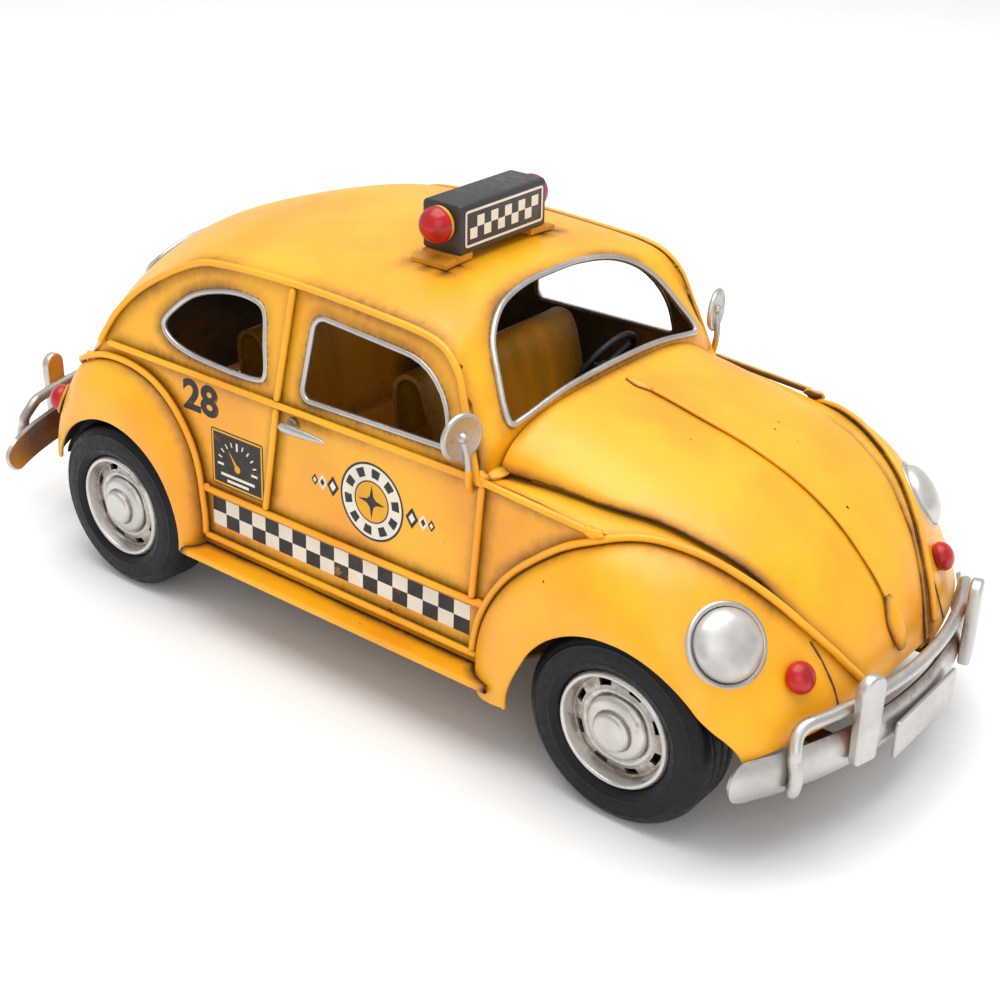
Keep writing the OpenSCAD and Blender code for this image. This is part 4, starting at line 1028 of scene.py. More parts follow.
def dress(nodes, key):
    """Gives frame nodes that stay in view a finish of this scene."""
    for node in nodes:
        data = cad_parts[node].data
        data.materials.clear()
        data.materials.append(finish(key))


# Finishes of the pieces: the first for faces of kind 0, the second for kind 1, and so on
PAINT = ["satin_yellow_paint"]
# Shells: paint outside, dark tin with painted shade inside
SHELL = ["satin_yellow_paint", "dark_tin_and_shade"]
# Wings: paint outside, painted shade on the faces underneath
WELL = ["satin_yellow_paint", "painted_well_shade"]
SILVER = ["tin_silver"]
BLADE = ["tin_silver", "back_ochre"]
LAMP = ["red_enamel", "satin_yellow_paint"]
WHEEL = ["wheel_silver", "wheel_black"]
PRINTS = ["print_black", "print_cream", "print_yellow"]
BLACK, CREAM, YELLOW = range(len(PRINTS))


class Piece(bpy.types.Operator):
    """Base of the operators that make the pieces: the user's sizes in millimetres"""

    bl_options = {"REGISTER", "UNDO"}

    @property
    def sheet(self):
        """Thickness of the sheet."""
        return bpy.context.scene.taxi_sizes.sheet / MM

    @property
    def bead(self):
        """Radius of the bead wire."""
        return bpy.context.scene.taxi_sizes.bead / MM / 2

    @property
    def wire(self):
        """Radius of the window wire."""
        return bpy.context.scene.taxi_sizes.frame_wire / MM / 2

    @property
    def lift(self):
        """How far the first layer of print stands off the paint."""
        return bpy.context.scene.taxi_sizes.print_lift / MM


class TAXI_OT_roof(Piece):
    """Roof and tail: one arched sheet with the two screen openings in it"""

    bl_idname = "taxi.roof"
    bl_label = "Roof"

    def execute(self, context):
        q = np.linspace(-1, 1, 81)
        cells = [
            self.opening(np.linspace(0, 5, 61), q, SCREEN, 2.7, 26),
            patch(roof, np.linspace(5, 10.5, 70), q),
            self.opening(np.linspace(10.5, 12.5, 31), q, BACK, 11.45, 30),
            patch(roof, np.linspace(12.5, 16, 60), q),
        ]
        skin = outward(weld(join(*cells)), CABIN)
        washed_and_shaded(skin, 7, np.concatenate([SEAM_LINES, self.sign_feet()]))
        put("roof_skin", thicken(skin, self.sheet, 1), SHELL, ["roof_panel"])
        return {"FINISHED"}

    def opening(self, t, q, loop, middle_t, rings):
        """Part of the sheet round a screen opening."""
        hole = loop_at(loop, np.arange(0, len(loop), 0.02))
        return pierced(roof, t, q, hole, (middle_t, 0), (1, 0.5), rings)

    def sign_feet(self):
        """Points of the roof round the sign's feet, where the wash and the painted shade under the sign gather
        too.
        """
        station, half = np.array(SIGN_STATION), 60
        return np.array([
            [SIGN_X + x, y, roof(station, np.array(y / half))[2]]
            for x in (-5, 0, 5) for y in (-19.5, -15, 15, 19.5)])


class TAXI_OT_sides(Piece):
    """Side sheets: the lower side cut round the wheels, and the window band with two openings"""

    bl_idname = "taxi.sides"
    bl_label = "Sides"

    def execute(self, context):
        sheets = (self.lower(), self.band(True), self.band(False))
        walls = [thicken(washed_and_shaded(outward(s, CABIN)), self.sheet, 1) for s in sheets]
        put_pair("side_skin", join(*walls), SHELL, "side_panel")
        return {"FINISHED"}

    def lower(self):
        """Columns along X, each from the wheel cut or the sill up to the belt."""
        lap, columns, rows, least = 2, 90, 30, 0.3
        rear = self.cut(rear_wing, np.linspace(113, 1, 60), lap)
        front = self.cut(front_wing, np.linspace(183, 103, 60), lap)
        between = np.linspace(rear[-1, 0] + SEAM, front[0, 0] - SEAM, columns)
        x = np.concatenate([rear[:, 0], between, front[:, 0]])
        low = np.concatenate([rear[:, 1], np.full(columns, SILL_Z), front[:, 1].clip(SILL_Z)])
        top = np.array([
            (REAR_X - 14, 54.5), (REAR_X - 9.6, BELT_Z - 4.6), (REAR_X - 5.4, BELT_Z),
            (FRONT_X - 38.7, BELT_Z), (FRONT_X - 38.5, BELT_Z - 0.8), (FRONT_X - 25, BELT_Z - 2),
            (FRONT_X - 9, BELT_Z - 4.6), (FRONT_X - 7.5, 57)])
        high = np.maximum(np.interp(x, *top.T), low + least)
        s = np.linspace(0, 1, rows)
        z = low[:, None] * (1 - s) + high[:, None] * s
        return net(on_side(np.stack([np.broadcast_to(x[:, None], z.shape), z], -1)))

    def cut(self, surface, angle, lap):
        """Wheel cut in X and Z: the wing's seam drawn in by the lap."""
        p, a = surface(angle, 0), np.radians(angle)
        x = np.maximum.accumulate(p[:, 0] - lap * np.cos(a))
        return np.column_stack([x, p[:, 2] - lap * np.sin(a)])

    def band(self, door):
        """Ring of sheet round a window, out to the belt, the roof seam and the door post."""
        top = curve_at(SEAM_XZ, np.linspace(0.6, 12, 160)) + [0, -0.9]
        seam = top[((top[:, 0] > POST_X) == door) & (top[:, 1] > BELT_Z)]
        corner = [(POST_X, np.interp(-POST_X, -top[:, 0], top[:, 1]))]
        if door:
            ring = [[(POST_X, BELT_Z), (FRONT_X - 40, BELT_Z)], seam, corner]
        else:
            ring = [[(REAR_X - 5.4, BELT_Z), (POST_X, BELT_Z)], corner, seam]
        outer = evenly(np.concatenate(ring), 300)
        hole = evenly(DOOR_WINDOW if door else QUARTER_WINDOW, 600)
        flat = ring_cell(outer, hole, hole.mean(0), (1, 0.6), 14)
        return net(on_side(flat), False, True)


class TAXI_OT_bonnet(Piece):
    """Bonnet, its centre ridge with the lens-shaped mark, its pressed handle, and the cowl strips"""

    bl_idname = "taxi.bonnet"
    bl_label = "Bonnet"

    def execute(self, context):
        station = np.linspace(0.9, 7.4, 80)
        crown = np.zeros_like(station)
        ridge = bonnet(station, crown) + 0.45 * surface_normal(bonnet, station, crown, CABIN)
        sheet = patch(bonnet, np.linspace(0, BONNET_END, 130), np.linspace(-1, 1, 91))
        skin = washed_and_shaded(outward(sheet, CABIN))
        edges = np.concatenate([BONNET_LINE, BONNET_LINE * MIRROR])
        # Brown wash with painted shade along the bonnet's edges and beside its ridge
        skin.stain(nearness(skin.points, edges, 4.2) ** 1.5)
        skin.stain(0.9 * nearness(skin.points, ridge, 2.4))
        put("bonnet_skin", thicken(skin, self.sheet, 1), SHELL, ["bonnet"])
        wire = tube(ridge, 0.55, LEFT, out=np.array([0.2, 0, 0.98]))
        put("ridge_wire", wire, PAINT, ["bonnet_ridge"])
        nose = round_pair([(-6.2, 0.9, 0.8), (-0.6, 3.4, 6), (6, 1.3, 1.2)])
        put("nose_handle", self.lens(7.85, nose, 1.8), PAINT, ["bonnet_handle"])
        mark = round_pair([(-3.6, 0.5, 0.4), (0, 1.5, 4), (3.6, 0.5, 0.4)])
        put("ridge_mark", self.lens(0.62, mark, 0.9), PAINT)
        self.cowls()
        return {"FINISHED"}

    def lens(self, t, outline, high):
        """Pillow over an outline on the bonnet's middle line."""
        t, q = np.array(float(t)), np.array(0.0)
        n = surface_normal(bonnet, t, q, CABIN)
        return dome(outline, high, bonnet(t, q) + 0.05 * n, np.cross(LEFT, n), LEFT)

    def cowls(self):
        """Strips between bonnet and wings: a smooth strip through four lines along the car."""
        t, rows = np.linspace(0, BONNET_END, 140), 25
        outer, inner = curve_at(COWL_EDGE, t), curve_at(BONNET_EDGE, t) - (self.sheet + SEAM) * UP
        lines = [inner - 1.4 * LEFT, inner, (outer + inner) / 2 + 0.4 * UP, outer + SEAM * UP]
        last = len(lines) - 1
        strip = curve_at(np.stack(lines).reshape(len(lines), -1), np.linspace(0, last, rows))
        skin = washed_and_shaded(outward(net(strip.reshape(rows, -1, 3)), CABIN), 5)
        # Painted shadow of the bonnet's edge on the cowl strip, full near the edge
        skin.stain(nearness(skin.points, BONNET_LINE, 3.4))
        put_pair("cowl_skin", thicken(skin, self.sheet, 1), SHELL, "cowl_strip")


# Places of the lamps on the wings: angle round the axle, and share from the seam to the lip
HEADLIGHT_AT, FRONT_LAMP_AT, TAIL_LAMP_AT = (51, 0.462), (28.8, 0.34), (140.6, 0.484)
HEADLIGHT_R, RING_R, RING_SINK = 8.6, 0.65, 0.9


def on_wing(surface, at):
    """Point of a wing and the direction straight out of it."""
    a, u = (np.array(float(x)) for x in at)
    da, du = 0.5, 0.01
    along = surface(a + da, u) - surface(a - da, u)
    across = surface(a, u + du) - surface(a, u - du)
    return surface(a, u), unit(np.cross(across, along))


class TAXI_OT_wings(Piece):
    """Wings with rolled lips, the front ones open behind the headlights, and the running boards"""

    bl_idname = "taxi.wings"
    bl_label = "Wings"

    def execute(self, context):
        u = np.linspace(0, 1, 45)
        front = weld(join(
            patch(front_wing, np.linspace(9, 20, 12), u), self.lamp_cell(np.linspace(20, 92, 73), u),
            patch(front_wing, np.linspace(92, 191, 90), u)))
        rear = patch(rear_wing, np.linspace(-8, 170, 160), u)
        for end, sheet, surface, reach, axle in (
                ("front", front, front_wing, (9, 191), FRONT_X),
                ("rear", rear, rear_wing, (-8, 170), REAR_X)):
            sheet = washed_and_shaded(outward(sheet, (axle, 20, AXLE_Z)))
            line = surface(np.linspace(*reach, 150), 1) - 0.62 * LEFT
            lip = tube(line, 0.6, LEFT, out=0.9 * LEFT, uneven=0.02)
            extra = self.crack(sheet) if end == "front" else self.house()
            skin = join(thicken(sheet, self.sheet, 1), lip, extra)
            put_pair(f"{end}_wing_skin", skin, WELL, f"{end}_wing")
        self.boards()
        return {"FINISHED"}

    def crack(self, sheet):
        """Dark seam down the front wing, with brown wash and painted shade on the sheet along it."""
        count = 80
        line = front_wing(np.linspace(36, 11, count), np.linspace(0.1, 0.3, count))
        sheet.stain(0.62 * nearness(sheet.points, line, 3))
        wire = tube(line, 0.24, LEFT, uneven=0.25)
        wire.wash_and_shade[:] = 1
        return wire

    def house(self):
        """Wheel house in a rear wing, all in painted shade: from the lip straight in, then down as a wall."""
        lip_y, wall_y, wall_r, rows, thick = 43, 33.0, 15.0, 8, 0.5
        angle = np.linspace(12, 170, 80)
        y = np.concatenate([np.linspace(lip_y, wall_y, rows), np.full(rows, wall_y)])
        down = np.concatenate([np.zeros(rows), np.linspace(0.05, 1, rows)])
        top = table_at(REAR_WING, angle)[:, 3:4] + thick
        r, a = top + (wall_r - top) * down, np.radians(angle)[:, None]
        points = np.stack(np.broadcast_arrays(REAR_X + r * np.cos(a), y, AXLE_Z + r * np.sin(a)), -1)
        shell = thicken(outward(net(points), (REAR_X, 40, AXLE_Z)), thick)
        shell.kinds[:] = 1
        return shell

    def lamp_cell(self, angle, u):
        """Part of the front wing round the headlight: the hole is found by halving along each spoke."""
        at, d = on_wing(front_wing, HEADLIGHT_AT)
        spokes, scale, halvings = 240, np.array([30, 0.4]), 30
        way = scale * rays(whole_turn(spokes), *np.eye(2))
        low, high = np.zeros(spokes), np.ones(spokes)
        for _ in range(halvings):
            mid = (low + high) / 2
            p = np.array(HEADLIGHT_AT) + way * mid[:, None]
            off = front_wing(p[:, 0], p[:, 1]) - at
            far = np.linalg.norm(off - (off @ d)[:, None] * d, axis=1) > HEADLIGHT_R - RING_R
            low, high = np.where(far, low, mid), np.where(far, mid, high)
        hole = np.array(HEADLIGHT_AT) + way * low[:, None]
        return pierced(front_wing, angle, u, hole, HEADLIGHT_AT, scale, 24)

    def boards(self):
        """Running boards: a flat strip with a rolled outer edge, cut at both ends along the wings."""
        inner, wide, thick, flat, columns = SILL_Y + SEAM, 5.8, 1.6, 20, 70
        outer, r = inner + wide, thick / 2
        turn = np.radians(np.linspace(90, -90, 15))
        y = np.concatenate([
            np.linspace(inner, outer, flat), outer + r * np.cos(turn), np.linspace(outer, inner, flat)])
        z = np.concatenate([
            np.full(flat, SILL_Z), SILL_Z - r + r * np.sin(turn), np.full(flat, SILL_Z - thick)])
        u = np.linspace(0, 0.75, 20)
        ahead, behind = front_wing(184, u), rear_wing(-5, u)
        x1 = np.interp(y, ahead[:, 1], ahead[:, 0]) - GAP
        x0 = np.interp(y, behind[:, 1], behind[:, 0]) + GAP
        s = np.linspace(0, 1, columns)[:, None]
        board = np.stack(np.broadcast_arrays(x0 + (x1 - x0) * s, y, z), -1)
        skin = sealed(capped(board))
        # Painted shade with brown wash along the edges where the board meets the sill and the wings
        skin.wash_and_shade = nearness(skin.points, np.concatenate([board[:, 0], board[0], board[-1]]), 3.5)
        put_pair("board_skin", skin, PAINT, "running_board")


class TAXI_OT_beads(Piece):
    """Soldered bead wires along the belt, doors, sill, roof seam and wings"""

    bl_idname = "taxi.beads"
    bl_label = "Bead wires"

    def execute(self, context):
        side_wires = join(*(tube(p, self.bead, (0, 1, 0.01), LEFT) for p in side_lines()))
        roof_wire = tube(roof_line(), self.bead, LEFT, np.array([0, 0.8, 0.6]))
        welts = (wing_line(front_wing, 16, 176, 88, 110), wing_line(rear_wing, 4, 166, 124, 106))
        wing_wires = join(*(tube(p, self.bead, LEFT, 0.7 * (LEFT + UP)) for p in welts))
        for side, hand in SIDES:
            put(f"side_wires_{hand}", side_wires.on(side), PAINT, [f"side_beads_{hand}"])
            put(f"roof_wire_{hand}", roof_wire.on(side), PAINT, [f"roof_bead_{hand}"])
            put(f"wing_wires_{hand}", wing_wires.on(side), PAINT, [f"wing_beads_{hand}"])
        return {"FINISHED"}


class TAXI_OT_solder(Piece):
    """Painted lumps of solder where the wires meet"""

    bl_idname = "taxi.solder"
    bl_label = "Solder"

    def execute(self, context):
        lines = side_lines()
        belt, cowl, stripe, foot = lines[0][-1], lines[1][-1], lines[5], roof_line()[0]
        seam = rear_wing(np.array(108.0), np.array(0.0))
        # Place and half sizes of each lump
        lumps = [
            (cowl + [1.6, -0.5, -0.4], (2.8, 1.0, 1.2)), (foot + [0.6, -1.3, -0.6], (1.5, 1.5, 1.7)),
            (np.array([FRONT_X - 37.4, 39.6, BELT_Z + 0.3]), (1.8, 3.0, 1.0)),
            (belt + [0.4, -0.2, -0.3], (1.6, 0.9, 1.2)), (stripe[-1] + [0.8, -0.3, 0], (1.8, 0.8, 1.0)),
            (stripe[0] + [-0.6, -0.3, 0], (1.5, 0.7, 1.0)), (seam + [0.4, 0.2, 1.2], (2.0, 0.8, 1.0))]
        skin = join(*(self.lump(at, size, k) for k, (at, size) in enumerate(lumps)))
        put_pair("solder_lumps", skin, PAINT)
        return {"FINISHED"}

    def lump(self, at, size, seed):
        """Ball stretched to a size, with low waves over it."""
        a, b = np.meshgrid(np.linspace(0, np.pi, 17), whole_turn(28), indexing="ij")
        r = 1 + np.sin(a) * (0.1 * np.sin(3 * b + seed) + 0.08 * np.sin(2 * a + 5 * b + 2 * seed))
        ball = np.stack([np.sin(a) * np.cos(b), np.cos(a), np.sin(a) * np.sin(b)], -1) * r[..., None]
        # Painted shade with brown wash on the side of the lump turned to the body
        wash_and_shade = np.clip(0.45 - 0.7 * np.cos(a), 0, 1)
        return sealed(at + ball * size, wash_and_shade)


class TAXI_OT_frames(Piece):
    """Silver wire frames of the windscreen, rear, door and quarter windows"""

    bl_idname = "taxi.frames"
    bl_label = "Window frames"

    def execute(self, context):
        for name, loop, side, node in (
                ("screen_wire", SCREEN, (0.6, 0, 0.8), "windscreen_frame"),
                ("back_wire", BACK, (-0.6, 0, 0.8), "rear_window_frame")):
            path, out = frame_path(loop, 0.3)
            put(name, tube(path, self.wire, side, out[:, None], True, 16), SILVER, [node])
        for name, outline in (("door", DOOR_WINDOW), ("quarter", QUARTER_WINDOW)):
            line = on_side(evenly(outline, 220), -0.35)
            wire = tube(line, self.wire, LEFT, np.array([0, 1.0, 0.2]), True, 16)
            put_pair(f"{name}_wire", wire, SILVER, f"{name}_window_frame")
        return {"FINISHED"}


class TAXI_OT_fittings(Piece):
    """Door handles and mirrors"""

    bl_idname = "taxi.fittings"
    bl_label = "Handles and mirrors"

    def execute(self, context):
        put("handle_grips", both(self.handle()), SILVER, ["door_handles"])
        put_pair("mirror_disc", self.mirror(), ["tin_silver", "satin_yellow_paint"], "mirror")
        return {"FINISHED"}

    def handle(self):
        """Tapered grip on a round post: an oval that narrows along the car."""
        z = BELT_Z - 3.6
        y = float(side_y(z)) + SEAM
        s, k = np.linspace(0, 1, 40)[:, None], whole_turn(20)
        half = np.interp(s, [0, 0.06, 0.2, 0.6, 0.95, 1], [0.2, 0.95, 1.25, 1.0, 0.5, 0.1])
        deep = np.interp(s, [0, 0.06, 0.3, 0.95, 1], [0.2, 0.7, 0.85, 0.5, 0.1])
        points = np.stack(np.broadcast_arrays(
            FRONT_X - 94 + 14 * s, y + 2.85 - 0.35 * s + deep * np.sin(k), z + half * np.cos(k)), -1)
        wash_and_shade = np.clip(-np.sin(k), 0, 1)[None] * 0.7
        grip = sealed(capped(points), wash_and_shade)
        post = lathe(
            [(0, 0), (1.7, 0), (1.6, 0.4), (1.1, 0.7), (1.1, 2.3), (0, 2.3)],
            (FRONT_X - 92, y, z), LEFT, 28, wash_and_shade=[1, 1, 0.8, 0.6, 0.2, 0.2])
        return join(grip, post)

    def mirror(self):
        """Disc with a turned edge on a bent wire stalk; the stalk's foot is painted."""
        r, edge, turn = 0.8, 5.25, np.radians(12)
        foot = np.array([FRONT_X - 40.4, side_y(BELT_Z - 2) + SEAM + r, BELT_Z - 2.6])
        knee = np.array([FRONT_X - 39.6, side_y(BELT_Z) + 2 * BEAD_R + GAP + r, BELT_Z])
        head = np.array([FRONT_X - 40.4, side_y(BELT_Z) + 4.2, BELT_Z + 10.2])
        path = curve_at([foot, knee, (knee + head) / 2 + r * AHEAD, head], np.linspace(0, 3, 40))
        low = tube(path[:22], r, AHEAD, 0.5 * LEFT, uneven=0, kind=1)
        high = tube(path[21:], r * 0.96, AHEAD, uneven=0)
        d = np.array([np.cos(turn), np.sin(turn), 0])
        disc = lathe(
            [(0, -0.5), (edge - 0.8, -0.62), (edge - 0.2, -0.45), (edge, 0), (edge - 0.2, 0.5),
             (edge - 0.7, 0.66), (edge - 1.1, 0.5), (0, 0.42)],
            head, d, 72, wash_and_shade=[0, 0.1, 0.5, 0.2, 0.2, 0.4, 0.5, 0])
        blob = lathe([(0, 1.5), (0.7, 1.35), (1.15, 0.8), (1.3, 0.4), (0, 0.2)], head, d, 20)
        return join(low, high, disc, blob)


class TAXI_OT_lamps(Piece):
    """Headlights in their rings, red front lamps and red tail lamps"""

    bl_idname = "taxi.lamps"
    bl_label = "Lamps"

    def execute(self, context):
        at, d = on_wing(front_wing, HEADLIGHT_AT)
        edge, back, high, rows = HEADLIGHT_R - 2 * RING_R - SEAM / 2, -4.4, 3.4, 20
        turn = quarter(rows)
        front = np.column_stack([edge * np.cos(turn), RING_R - RING_SINK + high * np.sin(turn)])
        profile = np.concatenate([[(0, back), (edge * 0.7, back), (edge, -2.6)], front])
        wash_and_shade = np.concatenate([[1, 1, 1], np.linspace(1, 0, rows) ** 3])
        glass = lathe(profile, at, d, 96, wash_and_shade=wash_and_shade)
        put_pair("headlight_dome", glass, ["headlight_silver"], "headlight")
        k = whole_turn(18)
        ring = np.column_stack([HEADLIGHT_R - RING_R + RING_R * np.cos(k), RING_R * np.sin(k) - RING_SINK])
        hoop = lathe(ring, at, d, 120, True, np.clip(-np.sin(k), 0, 1))
        put("headlight_hoops", both(hoop), SILVER, ["headlight_rings"])
        for name, surface, place, node, collar in (
                ("front_lamp_domes", front_wing, FRONT_LAMP_AT, "front_lamps", False),
                ("tail_lamp_domes", rear_wing, TAIL_LAMP_AT, "tail_lamps", True)):
            lamp = self.lamp(*on_wing(surface, place), collar)
            put(name, both(lamp), LAMP, [node])
        return {"FINISHED"}

    def lamp(self, at, d, collar):
        """Round lamp: a short wall that closes in an oval dome, with or without a painted collar."""
        r, rows = 3.3, 14
        turn = quarter(rows)
        top = np.column_stack([r * np.cos(turn), 1.2 + 0.8 * r * np.sin(turn)])
        profile = np.concatenate([[(0, 0.1), (r - 0.5, 0.1), (r - 0.2, 0.5)], top])
        # Painted shade at the lamp's foot, and at the collar's foot and inner edge
        lamp = lathe(profile, at, d, 48, wash_and_shade=np.concatenate([[1, 1, 0.8], np.zeros(rows)]))
        if not collar:
            return lamp
        foot = lathe(
            [(0, 0), (r + 0.7, 0), (r + 0.6, 0.5), (r + 0.1, 0.85), (r - 0.4, 0.8), (0, 0.8)],
            at, d, 48, wash_and_shade=[1, 1, 0.5, 0.6, 1, 1], kind=1)
        return join(lamp, foot)


class TAXI_OT_bumpers(Piece):
    """Both bumpers: blade, bent tube, upright guards, and the bare plate in front"""

    bl_idname = "taxi.bumpers"
    bl_label = "Bumpers"

    blade_r, blade_h, blade_y, blade_z = 96.0, 9.6, 51.5, 22.2
    guard_gap, tube_r = 47.0, 1.4

    def execute(self, context):
        face = {"front": (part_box("front_blade")[1].x / MM, 1), "rear": (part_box("rear_blade")[0].x / MM, -1)}
        for end, (x, way) in face.items():
            blade, bar, guards = (self.turned(s, x, way) for s in (self.blade(), self.bar(), self.guards()))
            put(f"{end}_blade_skin", blade, BLADE, [f"{end}_blade"])
            put(f"{end}_tube_bar", bar, SILVER, [f"{end}_guard_tube"])
            put(f"{end}_guard_plates", guards, BLADE, [f"{end}_guards"])
        plate = self.turned(self.plate(), *face["front"])
        put("front_plate_blank", plate, SILVER, ["front_plate"])
        return {"FINISHED"}

    def turned(self, skin, x, way):
        """A bumper piece drawn facing forward at the origin, set at its end of the car."""
        s = skin.moved(skin.points * [way, 1, 1] + [x, 0, self.blade_z])
        return s if way > 0 else s.flipped()

    def arc(self, r, angle, z):
        """Points round the blade's upright axis."""
        return np.stack([r * np.cos(angle) - self.blade_r, r * np.sin(angle), z], -1)

    def fall(self, z):
        """How far the blade's face falls back at a height: 1.6 (2z/h)^2."""
        return 1.6 * (2 * z / self.blade_h) ** 2

    def plate(self):
        """Bare plate with a thin raised rim."""
        half, low, high = 13.5, -6.4, 2.2
        outline = round_box(-half, low, half, high, 0.9)
        inner = grow(outline, -0.7)
        rim = np.column_stack([np.full(len(inner), SEAM + 0.55), inner])
        return join(pad(outline, 0.8, 0.25, SEAM * AHEAD, LEFT, UP), tube(rim, 0.22, AHEAD, None, True, 8))

    def blade(self):
        """Curved strip that falls back to its edges, with round ends; its back is browned in the middle as
        painted shade of the car and wings.
        """
        end, cap = math.asin(self.blade_y / self.blade_r), 4.4 / self.blade_r
        s, v = np.sin(np.pi / 2 * np.linspace(-1, 1, 151)), np.linspace(-1, 1, 23)
        angle = end * s
        over = np.clip((np.abs(angle) - (end - cap)) / cap, 0, 1)
        half = self.blade_h / 2 * np.sqrt(np.maximum(1 - over**2, 0.003))
        z = half[:, None] * v
        points = self.arc(self.blade_r - self.fall(z), np.broadcast_to(angle[:, None], z.shape), z)
        wash_and_shade = np.clip(1.1 * (v - 0.15), 0, 1)[None] * np.clip(3.2 - 4 * np.abs(s), 0.2, 1)[:, None]
        wall = thicken(outward(net(points, wash_and_shade=wash_and_shade), (-self.blade_r, 0, 0)), 1.0, 1)
        # Painted shade on the blade's back, darkest in the middle behind the car
        wall.wash_and_shade[z.size:] = np.repeat(np.clip(2.8 * (1 - np.abs(s)), 0, 1), len(v))
        return wall

    def bar(self):
        """Round bar on the blade's face: it rises, leans back over the edge, bends and runs along it."""
        r = self.blade_r - self.tube_r
        end, foot, high, bend = math.asin(39 / r), 1.8 - self.blade_h / 2, 9.8, 5.0
        k, post = quarter(14), 12
        angle = np.concatenate([np.full(post, -end), -end + bend / r * (1 - np.cos(k))])
        z = np.concatenate([
            np.linspace(foot, high - bend, post, endpoint=False), high - bend + bend * np.sin(k)])
        flat = np.linspace(angle[-1], -angle[-1], 60)[1:-1]
        angle = np.concatenate([angle, flat, -angle[::-1]])
        z = np.concatenate([z, np.full(len(flat), high), z[::-1]])
        down = np.clip((high - z) / (high - self.blade_h / 2), 0, 1)
        lean = 2 * self.tube_r + SEAM - self.fall(z.clip(foot, 4))
        line = self.arc(r + lean * down**2 * (3 - 2 * down), angle, z)
        return tube(line, self.tube_r, AHEAD, np.array([0.9, 0, 0.3]), uneven=0.015, around=18)

    def guards(self):
        """Upright plates with round tops and soft edges, square to the blade."""
        wide, foot, low, high, thick = 3.4, 3.0, -2, 18, 2.6
        top = wide - 0.1
        outline = round_outline([(-foot, low, 1), (foot, low, 1), (wide, high, top), (-wide, high, top)])
        turn = math.asin(self.guard_gap / 2 / self.blade_r)
        plates = []
        for a in (-turn, turn):
            out = np.array([math.cos(a), math.sin(a), 0])
            at = out * (self.blade_r + SEAM) - self.blade_r * AHEAD
            across = np.array([-math.sin(a), math.cos(a), 0])
            plates.append(pad(outline, thick, 0.7, at, across, UP).backed(-out))
        return join(*plates)


class TAXI_OT_sign(Piece):
    """Roof sign: black box with a cream border and chequers, its feet, and the red end lamps"""

    bl_idname = "taxi.sign"
    bl_label = "Roof sign"

    def execute(self, context):
        low, high = (np.array(v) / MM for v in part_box("sign_box"))
        at, size = (low + high) / 2, high - low
        hx, hz = size[0] / 2, size[2] / 2
        outline = round_box(-hx, -hz, hx, hz, 0.7, 1.3)
        case = pad(outline, size[1], 0.5, (at[0], high[1], at[2]), AHEAD, UP)
        put("sign_case", case, ["sign_black_and_sheen"], ["sign_box"])
        faces = join(*(self.face(at, size, way) for way in (1, -1)))
        put("sign_print", faces, ["print_cream"])
        bulb = self.bulb((at[0], high[1], at[2] - hz + size[2] * 0.58))
        put("sign_globes", both(bulb), LAMP, ["sign_lamps"])
        put("sign_tabs", both(self.tab(at, low, size)), PAINT, ["sign_feet"])
        return {"FINISHED"}

    def bulb(self, foot):
        """Red globe in a painted collar on the sign's left end."""
        r, rows = 4.1, 18
        turn = quarter(rows)
        globe = np.concatenate([
            [(0, 1.0), (r - 0.9, 1.0), (r - 0.3, 1.2)],
            np.column_stack([r * np.cos(turn), 1.4 + r * np.sin(turn)])])
        collar = [(0, 0.1), (r - 0.3, 0.1), (r - 0.1, 0.5), (r - 0.2, 1.2), (r - 0.8, 1.5), (0, 1.5)]
        # Painted shade at the feet of the globe and the collar
        return join(
            lathe(globe, foot, LEFT, 64, wash_and_shade=np.concatenate([[1, 1, 1], np.zeros(rows)])),
            lathe(collar, foot, LEFT, 64, wash_and_shade=[1, 1, 0.4, 0.5, 1, 1], kind=1))

    def tab(self, at, low, size):
        """Folded tin tab that follows the roof under the sign's left end."""
        depth, thick, end, top = 10, 1.0, size[1] / 2, low[2] - 0.1
        y = np.array([end - 4.5, end + 0.4, end + 2.4, end + 4.4])
        station = np.full(len(y), SIGN_STATION)
        q = np.arcsin(y / curve_at(ROOF, station)[:, 1]) * 2 / np.pi
        under = np.column_stack([y, roof(station, q)[:, 2] + 0.3])
        over = [
            under[3] + [0, thick], under[2] + [0, thick], under[1] + [0, thick + 0.2],
            (y[1], top), (y[0], top)]
        outline = np.concatenate([under, over])
        # Painted shade under the sign: wash 0.55 over the whole tab
        return pad(outline, depth, 0.12, (at[0] - depth / 2, 0, 0), LEFT, UP, wash_and_shade=0.55)

    def face(self, at, size, way):
        """Cream border line and a band of chequers on one long face of the sign."""
        ink, across = 0.06, way * LEFT
        foot = at + way * (size[0] / 2 + 0.01) * AHEAD
        hy, hz = size[1] / 2 - 1.3, size[2] / 2 - 1.4
        outline = round_box(-hy, -hz, hy, hz, 0.8)
        ring = np.stack([outline, grow(outline, -0.55)])
        cells = [net(foot + ring[..., :1] * across + ring[..., 1:] * UP, False, True)]
        columns, rows, cell = 10, 2, 2.4
        for k in range(columns * rows):
            i, j = k % columns, k // columns
            if (i + j) % 2 == 0:
                y0, z0 = (i - columns / 2) * cell, (j - rows / 2) * cell
                a, b = np.meshgrid([y0, y0 + cell], [z0, z0 + cell], indexing="ij")
                cells.append(net(foot + a[..., None] * across + b[..., None] * UP))
        flat = outward(join(*cells), at)
        return thicken(flat.moved(flat.points + way * ink * AHEAD), ink)


